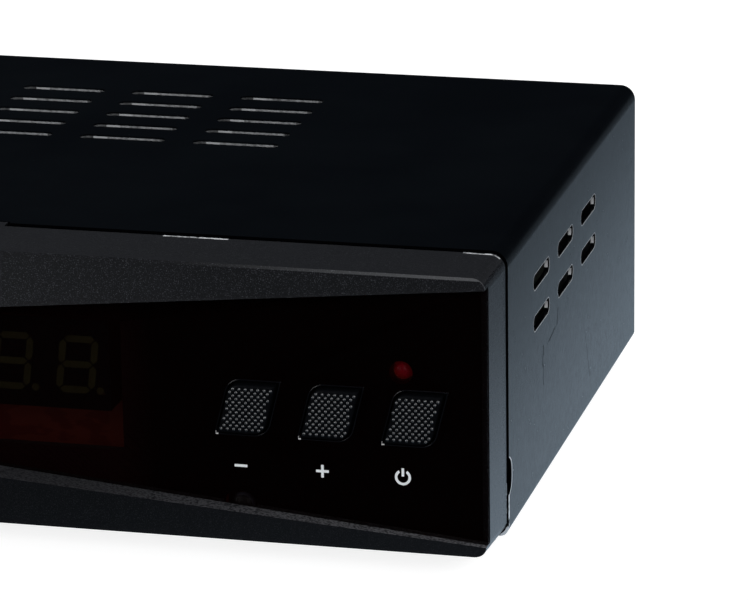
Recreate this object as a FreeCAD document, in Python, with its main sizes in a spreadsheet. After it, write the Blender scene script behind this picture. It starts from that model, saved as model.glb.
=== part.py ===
import FreeCAD, Part
import os
import re

import Sketcher

# Satellite television receiver: a folded steel case with a moulded front and three push buttons.
# Millimetres. +X runs to the right along the front, -Y is the front and +Z is up.
# The origin lies on the table, under the middle of the whole receiver.

SIZES = {
    # case of folded steel sheet: a cover over a base
    "case_width": 210.0,
    "case_height": 45.0,
    "case_depth": 102.0,
    "sheet_gauge": 0.8,
    "bend_radius": 2.5,
    "slip_gap": 0.2,
    "seam_gap": 0.4,
    "hem_width": 4.0,
    "flange_height": 7.0,
    "front_wall_inset": 3.0,
    # screw tabs at the rear of the cover, and the shallow notch in its front edge
    "tab_width": 14.0,
    "tab_drop": 9.0,
    "tab_spread": 84.0,
    "tab_screw_drop": 5.0,
    "notch_width": 53.4,
    "notch_depth": 1.9,
    # cooling slots
    "slot_width": 2.5,
    "top_slot_length": 14.6,
    "top_slot_pitch": 19.3,
    "top_slot_columns": 6,
    "top_slot_row_pitch": 7.26,
    "top_slot_rows": 5,
    "top_slot_front": 52.5,
    "side_slot_length": 12.0,
    "side_slot_pitch": 18.3,
    "side_slot_columns": 3,
    "side_slot_row_pitch": 6.65,
    "side_slot_rows": 2,
    "side_slot_front": 25.2,
    "side_slot_height": 27.7,
    "floor_slot_length": 30.0,
    "floor_slot_pitch": 7.0,
    "floor_slot_rows": 7,
    # moulded front
    "bezel_depth": 12.0,
    "bezel_wall": 2.0,
    "bezel_corner": 2.2,
    "bezel_draft": 0.35,
    "bezel_inset": 0.1,
    "bezel_under": 0.4,
    "facet_lean": 0.52,
    "upper_ridge_end": 1.65,
    "upper_ridge_middle": 10.1,
    "lower_ridge_end": 2.0,
    "lower_ridge_middle": 12.0,
    "backing_wall": 1.5,
    "boss_radius": 3.0,
    "hook_width": 8.0,
    "hook_gauge": 1.5,
    "hook_reach": 3.0,
    "hook_barb": 0.8,
    "hook_spread": 60.0,
    "hook_gap": 0.15,
    # smoked window
    "window_gauge": 1.5,
    "window_gap": 0.05,
    # push buttons
    "button_width": 7.1,
    "button_height": 7.8,
    "button_slant": 0.26,
    "button_round": 2.0,
    "button_gap": 0.35,
    "button_lip": 1.0,
    "button_lip_gauge": 0.8,
    "button_play": 0.2,
    "button_proud": 1.1,
    "button_edge": 0.4,
    "button_stem_radius": 1.6,
    "button_pitch": 12.9,
    "button_right": 11.55,
    "button_level": 22.1,
    # tact switches behind the buttons
    "switch_side": 6.0,
    "switch_height": 3.5,
    "plunger_radius": 1.75,
    "plunger_proud": 0.8,
    "plunger_root": 1.8,
    "plunger_gap": 0.08,
    "plunger_travel": 0.5,
    # circuit boards
    "board_gauge": 1.6,
    "front_board_left": 113.0,
    "front_board_right": 4.0,
    "front_board_low": 3.4,
    "front_board_height": 33.4,
    "front_board_hole_edge": 4.0,
    "main_board_edge": 4.0,
    "power_board_edge": 5.0,
    "power_board_share": 0.295,
    "board_spacing_share": 0.067,
    "board_setback": 17.6,
    "board_rear_gap": 0.8,
    "board_hole_edge": 5.0,
    # numeric display
    "display_right": 59.5,
    "display_width": 41.4,
    "display_height": 14.3,
    "display_depth": 7.0,
    "display_gap": 0.5,
    "display_level": 26.55,
    "display_margin": 2.0,
    "digit_count": 4,
    "digit_pitch": 10.35,
    "digit_width": 6.2,
    "digit_height": 9.2,
    "digit_slant": 0.12,
    "segment_width": 1.1,
    "segment_gap": 0.15,
    "segment_depth": 0.4,
    "point_radius": 0.6,
    # light and remote-control eye
    "led_radius": 1.5,
    "led_right": 13.9,
    "led_level": 28.7,
    "led_length": 3.6,
    "led_gap": 0.3,
    "eye_radius": 2.5,
    "eye_right": 39.2,
    "eye_level": 5.6,
    "eye_side": 5.4,
    "eye_depth": 3.0,
    "lead_radius": 0.25,
    "lead_pitch": 2.54,
    "hole_gap": 0.3,
    # fasteners and stand-offs
    "standoff_height": 6.0,
    "standoff_radius": 3.1,
    "screw_radius": 1.2,
    "screw_gap": 0.15,
    "screw_head_radius": 2.6,
    "screw_head_height": 1.8,
    "screw_length": 5.0,
    "cover_screw_radius": 1.5,
    "cover_screw_head_radius": 3.0,
    "cover_screw_head_height": 2.0,
    "cover_screw_length": 6.0,
    # rubber feet
    "foot_height": 2.5,
    "foot_radius": 6.0,
    "foot_taper": 0.8,
    "foot_side_edge": 16.0,
    "foot_front_edge": 14.0,
    # aerial sockets and tuner
    "socket_reach": 9.5,
    "socket_thread_radius": 4.75,
    "socket_neck_radius": 4.0,
    "socket_groove": 0.5,
    "socket_bore_radius": 3.6,
    "socket_pin_radius": 0.6,
    "socket_recess": 1.2,
    "socket_pin_depth": 6.0,
    "socket_collar_radius": 6.0,
    "socket_pitch": 20.0,
    "socket_level": 9.0,
    "socket_nut_radius": 6.4,
    "socket_nut_gauge": 2.0,
    "socket_nut_gap": 0.05,
    "tuner_share": 0.381,
    "tuner_width": 40.0,
    "tuner_depth": 34.0,
    "tuner_height": 15.0,
    # sound and picture sockets
    "jack_count": 3,
    "jack_pitch": 12.5,
    "jack_share": 0.176,
    "jack_level": 7.5,
    "jack_radius": 4.15,
    "jack_bore_radius": 1.6,
    "jack_bore_depth": 7.0,
    "jack_reach": 8.5,
    "jack_collar_radius": 5.2,
    "jack_collar_gauge": 1.2,
    "jack_housing_depth": 11.0,
    "jack_housing_height": 13.0,
    "jack_housing_side": 6.0,
    # digital sockets
    "picture_port_width": 15.0,
    "picture_port_height": 6.0,
    "picture_port_depth": 11.5,
    "picture_port_share": 0.038,
    "data_port_width": 13.2,
    "data_port_height": 6.8,
    "data_port_depth": 14.0,
    "data_port_share": -0.038,
    "port_shell": 0.4,
    "port_tongue": 1.8,
    "port_gap": 0.3,
    # chips and parts on the main board
    "chip_side": 19.0,
    "chip_height": 1.5,
    "chip_share": 0.186,
    "chip_front": 26.4,
    "sink_side": 24.0,
    "sink_base": 2.0,
    "sink_height": 10.0,
    "sink_fin_gauge": 1.2,
    "sink_fin_count": 6,
    "memory_width": 13.5,
    "memory_depth": 8.0,
    "memory_height": 1.1,
    "memory_reach": 26.0,
    "flash_side": 5.3,
    "flash_reach": 24.0,
    "small_cap_radius": 3.15,
    "small_cap_height": 11.0,
    "small_cap_pitch": 8.0,
    "small_cap_count": 4,
    "small_cap_front": 34.0,
    "coil_side": 7.0,
    "coil_height": 4.0,
    "coil_pitch": 10.0,
    "coil_front": 54.0,
    # power supply
    "inlet_width": 21.0,
    "inlet_height": 16.0,
    "inlet_depth": 17.0,
    "inlet_edge": 20.0,
    "inlet_mouth_width": 14.6,
    "inlet_mouth_height": 8.6,
    "inlet_mouth_depth": 12.5,
    "inlet_pin_radius": 1.2,
    "inlet_pin_pitch": 8.6,
    "inlet_pin_length": 10.0,
    "bulk_cap_radius": 8.0,
    "bulk_cap_height": 26.0,
    "core_width": 25.0,
    "core_depth": 9.0,
    "core_height": 21.0,
    "core_limb": 4.0,
    "winding_depth": 19.0,
    "winding_round": 3.0,
    "choke_ring_radius": 6.0,
    "choke_wire_radius": 3.0,
    "choke_seat_depth": 8.0,
    "fuse_radius": 2.6,
    "fuse_length": 20.0,
    "fuse_clip": 4.0,
    "switcher_width": 9.4,
    "switcher_depth": 6.4,
    "switcher_height": 3.4,
    "output_cap_radius": 5.0,
    "output_cap_height": 16.0,
    "output_cap_pitch": 12.0,
    # wiring between the boards
    "ribbon_width": 14.0,
    "ribbon_gauge": 1.0,
    "ribbon_bend": 6.0,
    "ribbon_x": 20.0,
    "ribbon_level": 29.0,
    "header_width": 17.0,
    "header_depth": 5.8,
    "header_height": 7.0,
    "wire_radius": 0.75,
    "wire_pitch": 2.5,
    "wire_count": 5,
    "wire_bend": 5.0,
    "wire_rise": 3.0,
    "insulator_gauge": 0.4,
}

# Places worked out from the sizes, each used by every piece that meets there.
PLACES = {
    "half_width": "case_width / 2",
    "ridge_proud": "lower_ridge_middle * facet_lean",
    "case_low": "foot_height",
    "case_top": "foot_height + case_height",
    "floor_low": "case_low + sheet_gauge",
    "floor_top": "floor_low + sheet_gauge",
    "seam_y": "(bezel_depth + ridge_proud - case_depth - socket_reach) / 2",
    "back_y": "seam_y + case_depth",
    "rear_wall_out": "back_y - sheet_gauge",
    "rear_wall_in": "rear_wall_out - sheet_gauge",
    "rear_wall_top": "case_top - sheet_gauge - slip_gap",
    "front_wall_out": "seam_y - seam_gap",
    "front_wall_in": "front_wall_out + sheet_gauge",
    "front_wall_half": "half_width - front_wall_inset - sheet_gauge",
    "base_half": "half_width - sheet_gauge - slip_gap",
    "bezel_half": "half_width - bezel_inset",
    "bezel_low": "case_low + bezel_under",
    "bezel_top": "case_top - bezel_inset",
    "bezel_back": "front_wall_out",
    "bezel_face": "seam_y - bezel_depth",
    "face_half": "bezel_half - bezel_draft",
    "face_low": "bezel_low + bezel_draft",
    "face_top": "bezel_top - bezel_draft",
    "window_back": "bezel_face + window_gauge",
    "wall_back": "window_back + backing_wall",
    "front_board_face": "window_back + display_gap + display_depth",
    "front_board_back": "front_board_face + board_gauge",
    "display_x": "half_width - display_right - display_width / 2",
    "display_z": "case_low + display_level",
    "display_face": "front_board_face - display_depth",
    "button_z": "case_low + button_level",
    "lip_front": "wall_back + button_play",
    "lip_back": "lip_front + button_lip_gauge",
    "switch_face": "front_board_face - switch_height",
    "plunger_tip": "switch_face - plunger_proud",
    "led_x": "half_width - led_right",
    "led_z": "case_low + led_level",
    "led_tip": "window_back + led_gap",
    "led_back": "led_tip + led_length",
    "eye_x": "half_width - eye_right",
    "eye_z": "case_low + eye_level",
    "eye_front": "window_back + led_gap",
    "board_low": "floor_top + standoff_height",
    "board_top": "board_low + board_gauge",
    "board_back": "rear_wall_in - board_rear_gap",
    "main_board_high_x": "half_width - main_board_edge",
    "main_board_low_x": "power_board_high_x + case_width * board_spacing_share",
    "main_board_front": "seam_y + board_setback",
    "power_board_low_x": "-half_width + power_board_edge",
    "power_board_high_x": "power_board_low_x + case_width * power_board_share",
    "power_board_front": "seam_y + board_setback",
    "tuner_low_x": "case_width * tuner_share - tuner_width / 2",
    "tuner_high_x": "case_width * tuner_share + tuner_width / 2",
    "socket_x": "case_width * tuner_share + socket_pitch / 2",
    "socket_z": "board_top + socket_level",
    "socket_end": "back_y + socket_reach",
    "tuner_front": "board_back - tuner_depth",
    "jack_x": "case_width * jack_share + (jack_count - 1) / 2 * jack_pitch",
    "jack_z": "board_top + jack_level",
    "jack_face": "board_back - jack_housing_depth",
    "picture_port_x": "case_width * picture_port_share",
    "data_port_x": "case_width * data_port_share",
    "chip_x": "case_width * chip_share",
    "chip_y": "main_board_front + chip_front",
    "sink_low": "board_top + chip_height",
    "inlet_x": "power_board_low_x + inlet_edge",
    "inlet_z": "board_top + inlet_height / 2",
    "inlet_front": "rear_wall_out - inlet_depth",
    "inlet_floor": "rear_wall_out - inlet_mouth_depth",
    "ribbon_z": "case_low + ribbon_level",
    "header_y": "main_board_front + header_depth",
    "front_header_back": "front_board_back + header_height",
    "header_top": "board_top + header_height",
    "power_header_x": "power_board_high_x - header_depth",
    "main_header_x": "main_board_low_x + header_depth",
    "harness_y": "main_board_front + header_width",
}

doc = FreeCAD.newDocument("receiver")
sheet = doc.addObject("Spreadsheet::Sheet", "sizes")
for row, (word, size) in enumerate(SIZES.items(), start=1):
    sheet.set(f"A{row}", word)
    sheet.set(f"B{row}", str(size))
    sheet.setAlias(f"B{row}", word)
doc.recompute()

parts = []


def formula(text):
    """Expression in which places are opened out and sizes name their cells."""
    opened = None
    while opened != text:
        opened = text
        text = re.sub(r"[a-z]\w+", lambda m: f"({PLACES[m[0]]})" if m[0] in PLACES else m[0], opened)
    return re.sub(r"[a-z]\w+", lambda m: f"sizes.{m[0]}" if m[0] in SIZES else m[0], text)


def number(text):
    """Present value of a formula, in millimetres."""
    return float(sheet.evalExpression(formula(text)))


def count(word):
    """Whole number held by one cell."""
    return int(round(number(word)))


def finished(piece, label):
    """Names a sub-part and puts it on the list that is written out."""
    piece.Label = label
    parts.append(piece)
    return piece


# Bodies built from sketches

def origin_part(body, role):
    """Origin plane or axis of a body."""
    return next(item for item in body.Origin.OriginFeatures if item.Role == role)


def new_body(label, several=False):
    """Empty body; several lets it hold more than one solid."""
    body = doc.addObject("PartDesign::Body", label)
    body.AllowCompound = several
    return finished(body, label)


def circle(x, y, radius):
    """Closed round loop for a sketch."""
    return ("circle", x, y, radius)


def rectangle(low_x, high_x, low_y, high_y):
    """Four corners of a loop."""
    return [(low_x, low_y), (high_x, low_y), (high_x, high_y), (low_x, high_y)]


def rounded(low_x, high_x, low_y, high_y, radius):
    """Rectangle with four round corners: a third entry is the middle of the arc that starts there."""
    left, right = f"({low_x}) + {radius}", f"({high_x}) - {radius}"
    low, high = f"({low_y}) + {radius}", f"({high_y}) - {radius}"
    return [
        (left, low_y), (right, low_y, (right, low)),
        (high_x, low), (high_x, high, (right, high)),
        (right, high_y), (left, high_y, (left, high)),
        (low_x, high), (low_x, low, (left, low)),
    ]


def stadium(x, y, length, width):
    """Slot with half-round ends, its length along the sketch's first axis."""
    left, right = f"({x}) - ({length} - {width}) / 2", f"({x}) + ({length} - {width}) / 2"
    low, high = f"({y}) - {width} / 2", f"({y}) + {width} / 2"
    return [(left, low), (right, low, (right, y)), (right, high), (left, high, (left, y))]


def leaf(x, z, grow):
    """Button outline, larger all round by grow: leaning sides, two sharp corners and two round ones."""
    stretch = "sqrt(1 + button_slant * button_slant)"
    half_w = f"(button_width / 2 + ({grow}) * {stretch})"
    half_h = f"(button_height / 2 + ({grow}))"
    radius = f"(button_round + ({grow}))"
    lift = f"({half_h} - {radius})"
    reach = f"({half_w} - button_slant * {lift} - {radius} * {stretch})"
    out, rise = f"{radius} / {stretch}", f"{radius} * button_slant / {stretch}"
    return [
        (f"({x}) - {half_w} - button_slant * {half_h}", f"({z}) - {half_h}"),
        (f"({x}) + {reach}", f"({z}) - {half_h}", (f"({x}) + {reach}", f"({z}) - {lift}")),
        (f"({x}) + {reach} + {out}", f"({z}) - {lift} - {rise}"),
        (f"({x}) + {half_w} + button_slant * {half_h}", f"({z}) + {half_h}"),
        (f"({x}) - {reach}", f"({z}) + {half_h}", (f"({x}) - {reach}", f"({z}) + {lift}")),
        (f"({x}) - {reach} - {out}", f"({z}) + {lift} + {rise}"),
    ]


def tie(sketch, kind, text, *where):
    """Adds one dimension to a sketch and binds it to the sheet."""
    index = sketch.addConstraint(Sketcher.Constraint(kind, *where, number(text)))
    sketch.setExpression(f"Constraints[{index}]", formula(text))


def draw(sketch, loop):
    """Draws one closed loop and fixes each of its corners by two dimensions."""
    up = FreeCAD.Vector(0, 0, 1)
    if loop[0] == "circle":
        x, y, radius = loop[1:]
        middle = FreeCAD.Vector(number(x), number(y), 0)
        index = sketch.addGeometry(Part.Circle(middle, up, number(radius)), False)
        tie(sketch, "DistanceX", x, -1, 1, index, 3)
        tie(sketch, "DistanceY", y, -1, 1, index, 3)
        tie(sketch, "Radius", radius, index)
        return
    spots = [FreeCAD.Vector(number(corner[0]), number(corner[1]), 0) for corner in loop]
    first = sketch.GeometryCount
    for place, corner in enumerate(loop):
        start, end = spots[place], spots[(place + 1) % len(loop)]
        if len(corner) == 2:
            sketch.addGeometry(Part.LineSegment(start, end), False)
            continue
        middle = FreeCAD.Vector(number(corner[2][0]), number(corner[2][1]), 0)
        whole = Part.Circle(middle, up, (start - middle).Length)
        sketch.addGeometry(Part.ArcOfCircle(whole, whole.parameter(start), whole.parameter(end)), False)
    for place, corner in enumerate(loop):
        index = first + place
        after = first + (place + 1) % len(loop)
        sketch.addConstraint(Sketcher.Constraint("Coincident", index, 2, after, 1))
        tie(sketch, "DistanceX", corner[0], -1, 1, index, 1)
        tie(sketch, "DistanceY", corner[1], -1, 1, index, 1)
        if len(corner) == 3:
            tie(sketch, "DistanceX", corner[2][0], -1, 1, index, 3)


def new_sketch(body, plane, level, loops):
    """Sketch on an origin plane of its own body, moved along the plane's normal to a level."""
    sketch = body.newObject("Sketcher::SketchObject", body.Name + "_outline")
    sketch.AttachmentSupport = [(origin_part(body, plane + "_Plane"), "")]
    sketch.MapMode = "FlatFace"
    towards = "-1" if plane == "XZ" else "1"
    sketch.setExpression("AttachmentOffset.Base.z", formula(f"{towards} * ({level})"))
    for loop in loops:
        draw(sketch, loop)
    return sketch


def pad(body, plane, loops, start, end):
    """Adds material between two levels along the plane's axis."""
    feature = body.newObject("PartDesign::Pad", body.Name + "_pad")
    feature.Profile = new_sketch(body, plane, start, loops)
    feature.setExpression("Length", formula(f"({end}) - ({start})"))
    feature.Reversed = plane == "XZ"
    return feature


def pocket(body, plane, loops, start, end):
    """Takes material away between two levels, and checks that some went."""
    doc.recompute()
    before = body.Shape.Volume
    feature = body.newObject("PartDesign::Pocket", body.Name + "_pocket")
    feature.Profile = new_sketch(body, plane, start, loops)
    feature.setExpression("Length", formula(f"({end}) - ({start})"))
    feature.Reversed = plane != "XZ"
    doc.recompute()
    if body.Shape.Volume >= before:
        raise ValueError(f"{feature.Name} cuts nothing")
    return feature


def repeat(body, feature, steps):
    """Rows and columns of a feature: steps holds an axis, a pitch and a count for each direction."""
    grid = body.newObject("PartDesign::MultiTransform", body.Name + "_grid")
    grid.Originals = [feature]
    rows = []
    for axis, pitch, copies in steps:
        row = body.newObject("PartDesign::LinearPattern", body.Name + "_row")
        row.Direction = (origin_part(body, axis + "_Axis"), [""])
        row.Mode = "Extent"
        row.setExpression("Length", formula(f"({pitch}) * max({copies} - 1; 1)"))
        row.setExpression("Occurrences", formula(copies))
        rows.append(row)
    grid.Transformations = rows
    body.Tip = grid
    doc.recompute()
    return grid


def round_edges(body, radius, wanted):
    """Rounds the edges whose middle point and direction pass a test."""
    doc.recompute()
    names = []
    for index, edge in enumerate(body.Shape.Edges, start=1):
        if edge.Curve.TypeId != "Part::GeomLine":
            continue
        if wanted(edge.CenterOfMass, edge.Vertexes[-1].Point - edge.Vertexes[0].Point):
            names.append(f"Edge{index}")
    if not names:
        raise ValueError(f"{body.Name} has no edge to round")
    rough = body.Tip
    feature = body.newObject("PartDesign::Fillet", body.Name + "_round")
    feature.Base = (rough, names)
    feature.setExpression("Radius", formula(radius))
    body.Tip = feature
    doc.recompute()
    return feature


def near(value, text):
    """True where a coordinate is that of a formula."""
    return abs(value - number(text)) < 0.01


def along(step, axis):
    """True where a direction runs along one axis."""
    return abs(abs(getattr(step, axis)) - step.Length) < 0.001


# Primitives bound to the sheet

TURNS = {
    "X": FreeCAD.Rotation(FreeCAD.Vector(0, 1, 0), 90),
    "Y": FreeCAD.Rotation(FreeCAD.Vector(1, 0, 0), -90),
    "Z": FreeCAD.Rotation(),
}


def put(shape, x, y, z):
    """Binds where a primitive stands."""
    for axis, text in zip("xyz", (x, y, z)):
        shape.setExpression(f"Placement.Base.{axis}", formula(text))
    return shape


def block(x, y, z, name="block"):
    """Box between a low and a high level along each axis."""
    shape = doc.addObject("Part::Box", name)
    for side, (low, high) in zip(("Length", "Width", "Height"), (x, y, z)):
        shape.setExpression(side, formula(f"({high}) - ({low})"))
    return put(shape, x[0], y[0], z[0])


def rod(radius, axis, start, end, first, second, name="rod"):
    """Cylinder between two levels of one axis, at its two other coordinates in XYZ order."""
    shape = doc.addObject("Part::Cylinder", name)
    shape.Placement = FreeCAD.Placement(FreeCAD.Vector(), TURNS[axis])
    shape.setExpression("Radius", formula(radius))
    shape.setExpression("Height", formula(f"({end}) - ({start})"))
    spot = {"X": (start, first, second), "Y": (first, start, second), "Z": (first, second, start)}
    return put(shape, *spot[axis])


def hexagon(radius, axis, start, end, first, second, name="hexagon"):
    """Six-sided prism between two levels of one axis."""
    shape = doc.addObject("Part::Prism", name)
    shape.Placement = FreeCAD.Placement(FreeCAD.Vector(), TURNS[axis])
    shape.Polygon = 6
    shape.setExpression("Circumradius", formula(radius))
    shape.setExpression("Height", formula(f"({end}) - ({start})"))
    spot = {"X": (start, first, second), "Y": (first, start, second), "Z": (first, second, start)}
    return put(shape, *spot[axis])


def joined(*shapes):
    """One solid of several that meet."""
    whole = doc.addObject("Part::MultiFuse", "joined")
    whole.Shapes = list(shapes)
    return whole


def without(base, *tools):
    """One solid less others."""
    rest = doc.addObject("Part::Cut", "less")
    rest.Base = base
    rest.Tool = tools[0] if len(tools) == 1 else joined(*tools)
    return rest


def group(label, shapes):
    """Like pieces kept as separate solids of one sub-part."""
    family = doc.addObject("Part::Compound", label)
    family.Links = list(shapes)
    return finished(family, label)


def swept(label, sections):
    """Sub-part of bands or wires, each a section carried along its own path of lines and arcs."""
    shapes = []
    for path, section in sections:
        shapes.append(path.makePipeShell([section], True, False))
    feature = doc.addObject("Part::Feature", label)
    feature.Shape = shapes[0] if len(shapes) == 1 else Part.makeCompound(shapes)
    feature.Placement = FreeCAD.Placement()
    return finished(feature, label)


# Steel case

def make_top_cover():
    """Cover: top and two sides of one sheet, hemmed under the base, with screw tabs behind."""
    body = new_body("top_cover")
    left_in, right_in = "-half_width + sheet_gauge", "half_width - sheet_gauge"
    pad(body, "XZ", [[
        ("-half_width + hem_width", "case_low"), ("-half_width", "case_low"),
        ("-half_width", "case_top"), ("half_width", "case_top"),
        ("half_width", "case_low"), ("half_width - hem_width", "case_low"),
        ("half_width - hem_width", "floor_low"), (right_in, "floor_low"),
        (right_in, "case_top - sheet_gauge"), (left_in, "case_top - sheet_gauge"),
        (left_in, "floor_low"), ("-half_width + hem_width", "floor_low"),
    ]], "seam_y", "back_y")
    for spot in ("-tab_spread", "0", "tab_spread"):
        pad(body, "XZ", [rectangle(
            f"{spot} - tab_width / 2", f"{spot} + tab_width / 2",
            "case_top - tab_drop", "case_top - sheet_gauge / 2")], "rear_wall_out", "back_y")
    round_edges(body, "bend_radius", lambda at, step: along(step, "y") and near(at.z, "case_top")
                and near(abs(at.x), "half_width"))
    round_edges(body, "bend_radius - sheet_gauge", lambda at, step: along(step, "y")
                and near(at.z, "case_top - sheet_gauge") and near(abs(at.x), right_in))
    round_edges(body, "sheet_gauge * 1.5", lambda at, step: along(step, "y")
                and near(at.z, "case_low") and near(abs(at.x), "half_width"))
    pocket(body, "XZ", [circle(spot, "case_top - tab_screw_drop", "cover_screw_radius + screw_gap")
                        for spot in ("-tab_spread", "0", "tab_spread")], "rear_wall_in", "back_y + 1")
    pocket(body, "XY", [rounded("-notch_width / 2", "notch_width / 2", "seam_y - 2 * notch_depth",
                                "seam_y + notch_depth", "notch_depth / 2")],
           "case_top - 2 * sheet_gauge", "case_top + 1")
    top = pocket(body, "XY", [stadium("-(top_slot_columns - 1) / 2 * top_slot_pitch",
                                      "seam_y + top_slot_front", "top_slot_length", "slot_width")],
                 "case_top - 2 * sheet_gauge", "case_top + 1")
    repeat(body, top, [("X", "top_slot_pitch", "top_slot_columns"),
                       ("Y", "top_slot_row_pitch", "top_slot_rows")])
    side = pocket(body, "YZ", [stadium("seam_y + side_slot_front", "case_low + side_slot_height",
                                       "side_slot_length", "slot_width")],
                  "-half_width - 1", "half_width + 1")
    repeat(body, side, [("Y", "side_slot_pitch", "side_slot_columns"),
                        ("Z", "side_slot_row_pitch", "side_slot_rows")])


def rear_openings():
    """Cut-outs of the rear wall, each from the socket that comes through it."""
    loops = [circle(x, "socket_z", "socket_thread_radius + hole_gap")
             for x in ("socket_x", "socket_x - socket_pitch")]
    loops += [circle(f"jack_x - {turn} * jack_pitch", "jack_z", "jack_collar_radius + hole_gap")
              for turn in range(count("jack_count"))]
    for port in ("picture_port", "data_port"):
        loops.append(rectangle(
            f"{port}_x - {port}_width / 2 - port_gap", f"{port}_x + {port}_width / 2 + port_gap",
            "board_top - port_gap", f"board_top + {port}_height + port_gap"))
    loops.append(rectangle(
        "inlet_x - inlet_width / 2 - port_gap", "inlet_x + inlet_width / 2 + port_gap",
        "board_top - port_gap", "board_top + inlet_height + port_gap"))
    loops += [circle(spot, "case_top - tab_screw_drop", "cover_screw_radius + screw_gap")
              for spot in ("-tab_spread", "0", "tab_spread")]
    return loops


def hook_spots():
    """Middle of each snap hook, low ones and high ones, with the side it grips towards."""
    return [(x, z, side) for x in ("-hook_spread", "hook_spread")
            for z, side in (("bezel_low + bezel_wall / 2 + 1", 1), ("bezel_top - bezel_wall / 2 - 1", -1))]


def make_chassis_base():
    """Base: floor, front wall, rear wall and low side flanges of one folded sheet."""
    body = new_body("chassis_base")
    pad(body, "XY", [rectangle("-base_half", "base_half", "front_wall_out", "rear_wall_out")],
        "floor_low", "floor_top")
    shoulder = "rear_wall_top - bend_radius"
    pad(body, "XZ", [[
        ("-base_half", "floor_low"), ("base_half", "floor_low"), ("base_half", shoulder),
        ("base_half - bend_radius", "rear_wall_top"), ("-base_half + bend_radius", "rear_wall_top"),
        ("-base_half", shoulder),
    ]], "rear_wall_in", "rear_wall_out")
    pad(body, "XZ", [rectangle("-front_wall_half", "front_wall_half", "floor_low", "rear_wall_top")],
        "front_wall_out", "front_wall_in")
    for side in ("-1", "1"):
        ends = sorted((f"{side} * (base_half - sheet_gauge)", f"{side} * base_half"), key=number)
        pad(body, "XZ", [rectangle(*ends, "floor_low", "floor_top + flange_height")],
            "front_wall_out", "rear_wall_out")
        ends = sorted((f"{side} * (base_half - sheet_gauge)", f"{side} * bezel_half"), key=number)
        pad(body, "XZ", [rectangle(*ends, "floor_top", "floor_top + flange_height")],
            "front_wall_out", "seam_y - slip_gap / 2")
    pocket(body, "XZ", rear_openings(), "rear_wall_in - 1", "rear_wall_out + 1")
    clear = "front_board_hole_edge - screw_head_radius - hole_gap"
    board_window = rectangle(f"half_width - front_board_left + {clear}",
                             f"half_width - front_board_right - ({clear})",
                             f"case_low + front_board_low + {clear}",
                             f"case_low + front_board_low + front_board_height - ({clear})")
    slots = [rectangle(f"{x} - hook_width / 2 - hook_gap", f"{x} + hook_width / 2 + hook_gap",
                       f"{z} - hook_gauge / 2 - hook_gap", f"{z} + hook_gauge / 2 + hook_gap")
             for x, z, side in hook_spots()]
    pocket(body, "XZ", [board_window] + slots, "front_wall_out - 1", "front_wall_in + 1")
    spare = "(board_back - power_board_front - (floor_slot_rows - 1) * floor_slot_pitch) / 2"
    vent = pocket(body, "XY", [stadium("(power_board_low_x + power_board_high_x) / 2",
                                       f"power_board_front + {spare}", "floor_slot_length", "slot_width")],
                  "floor_low - 1", "floor_top + 1")
    repeat(body, vent, [("Y", "floor_slot_pitch", "floor_slot_rows")])


def make_feet():
    """Four rubber feet stuck under the floor, narrower where they meet the table."""
    spots = {
        "foot_front_left": ("-half_width + foot_side_edge", "seam_y + foot_front_edge"),
        "foot_front_right": ("half_width - foot_side_edge", "seam_y + foot_front_edge"),
        "foot_rear_left": ("-half_width + foot_side_edge", "back_y - foot_front_edge"),
        "foot_rear_right": ("half_width - foot_side_edge", "back_y - foot_front_edge"),
    }
    for label, (x, y) in spots.items():
        foot = doc.addObject("Part::Cone", label)
        foot.setExpression("Radius1", formula("foot_radius - foot_taper"))
        foot.setExpression("Radius2", formula("foot_radius"))
        foot.setExpression("Height", formula("floor_low"))
        finished(put(foot, x, y, "0"), label)


# Moulded front with its window and buttons

def button_places():
    """Name and middle of each button, from the left."""
    names = ("channel_down", "channel_up", "power")
    return {name: f"half_width - button_right - {2 - turn} * button_pitch"
            for turn, name in enumerate(names)}


def board_holes(low_x, high_x, low_y, high_y, edge):
    """Four hole places near a board's corners."""
    return [(x, y) for x in (f"({low_x}) + {edge}", f"({high_x}) - {edge}")
            for y in (f"({low_y}) + {edge}", f"({high_y}) - {edge}")]


def front_board_holes():
    """Screw holes that the front board shares with the bosses of the moulding."""
    return board_holes("half_width - front_board_left", "half_width - front_board_right",
                       "case_low + front_board_low", "case_low + front_board_low + front_board_height",
                       "front_board_hole_edge")


def bow_tie(half, clear):
    """Window outline between the two ridges: tall at its ends and low in the middle."""
    low_mid, high_mid = f"face_low + lower_ridge_middle + {clear}", f"face_top - upper_ridge_middle - {clear}"
    low_end = f"{low_mid} - (lower_ridge_middle - lower_ridge_end) * ({half}) / face_half"
    high_end = f"{high_mid} + (upper_ridge_middle - upper_ridge_end) * ({half}) / face_half"
    return [
        (f"-({half})", low_end), ("0", low_mid), (half, low_end),
        (half, high_end), ("0", high_mid), (f"-({half})", high_end),
    ]


def eye_and_light_holes():
    """Holes of the backing wall for the light and the remote-control eye."""
    return [circle("led_x", "led_z", "led_radius + hole_gap"),
            circle("eye_x", "eye_z", "eye_radius + hole_gap")]


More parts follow.
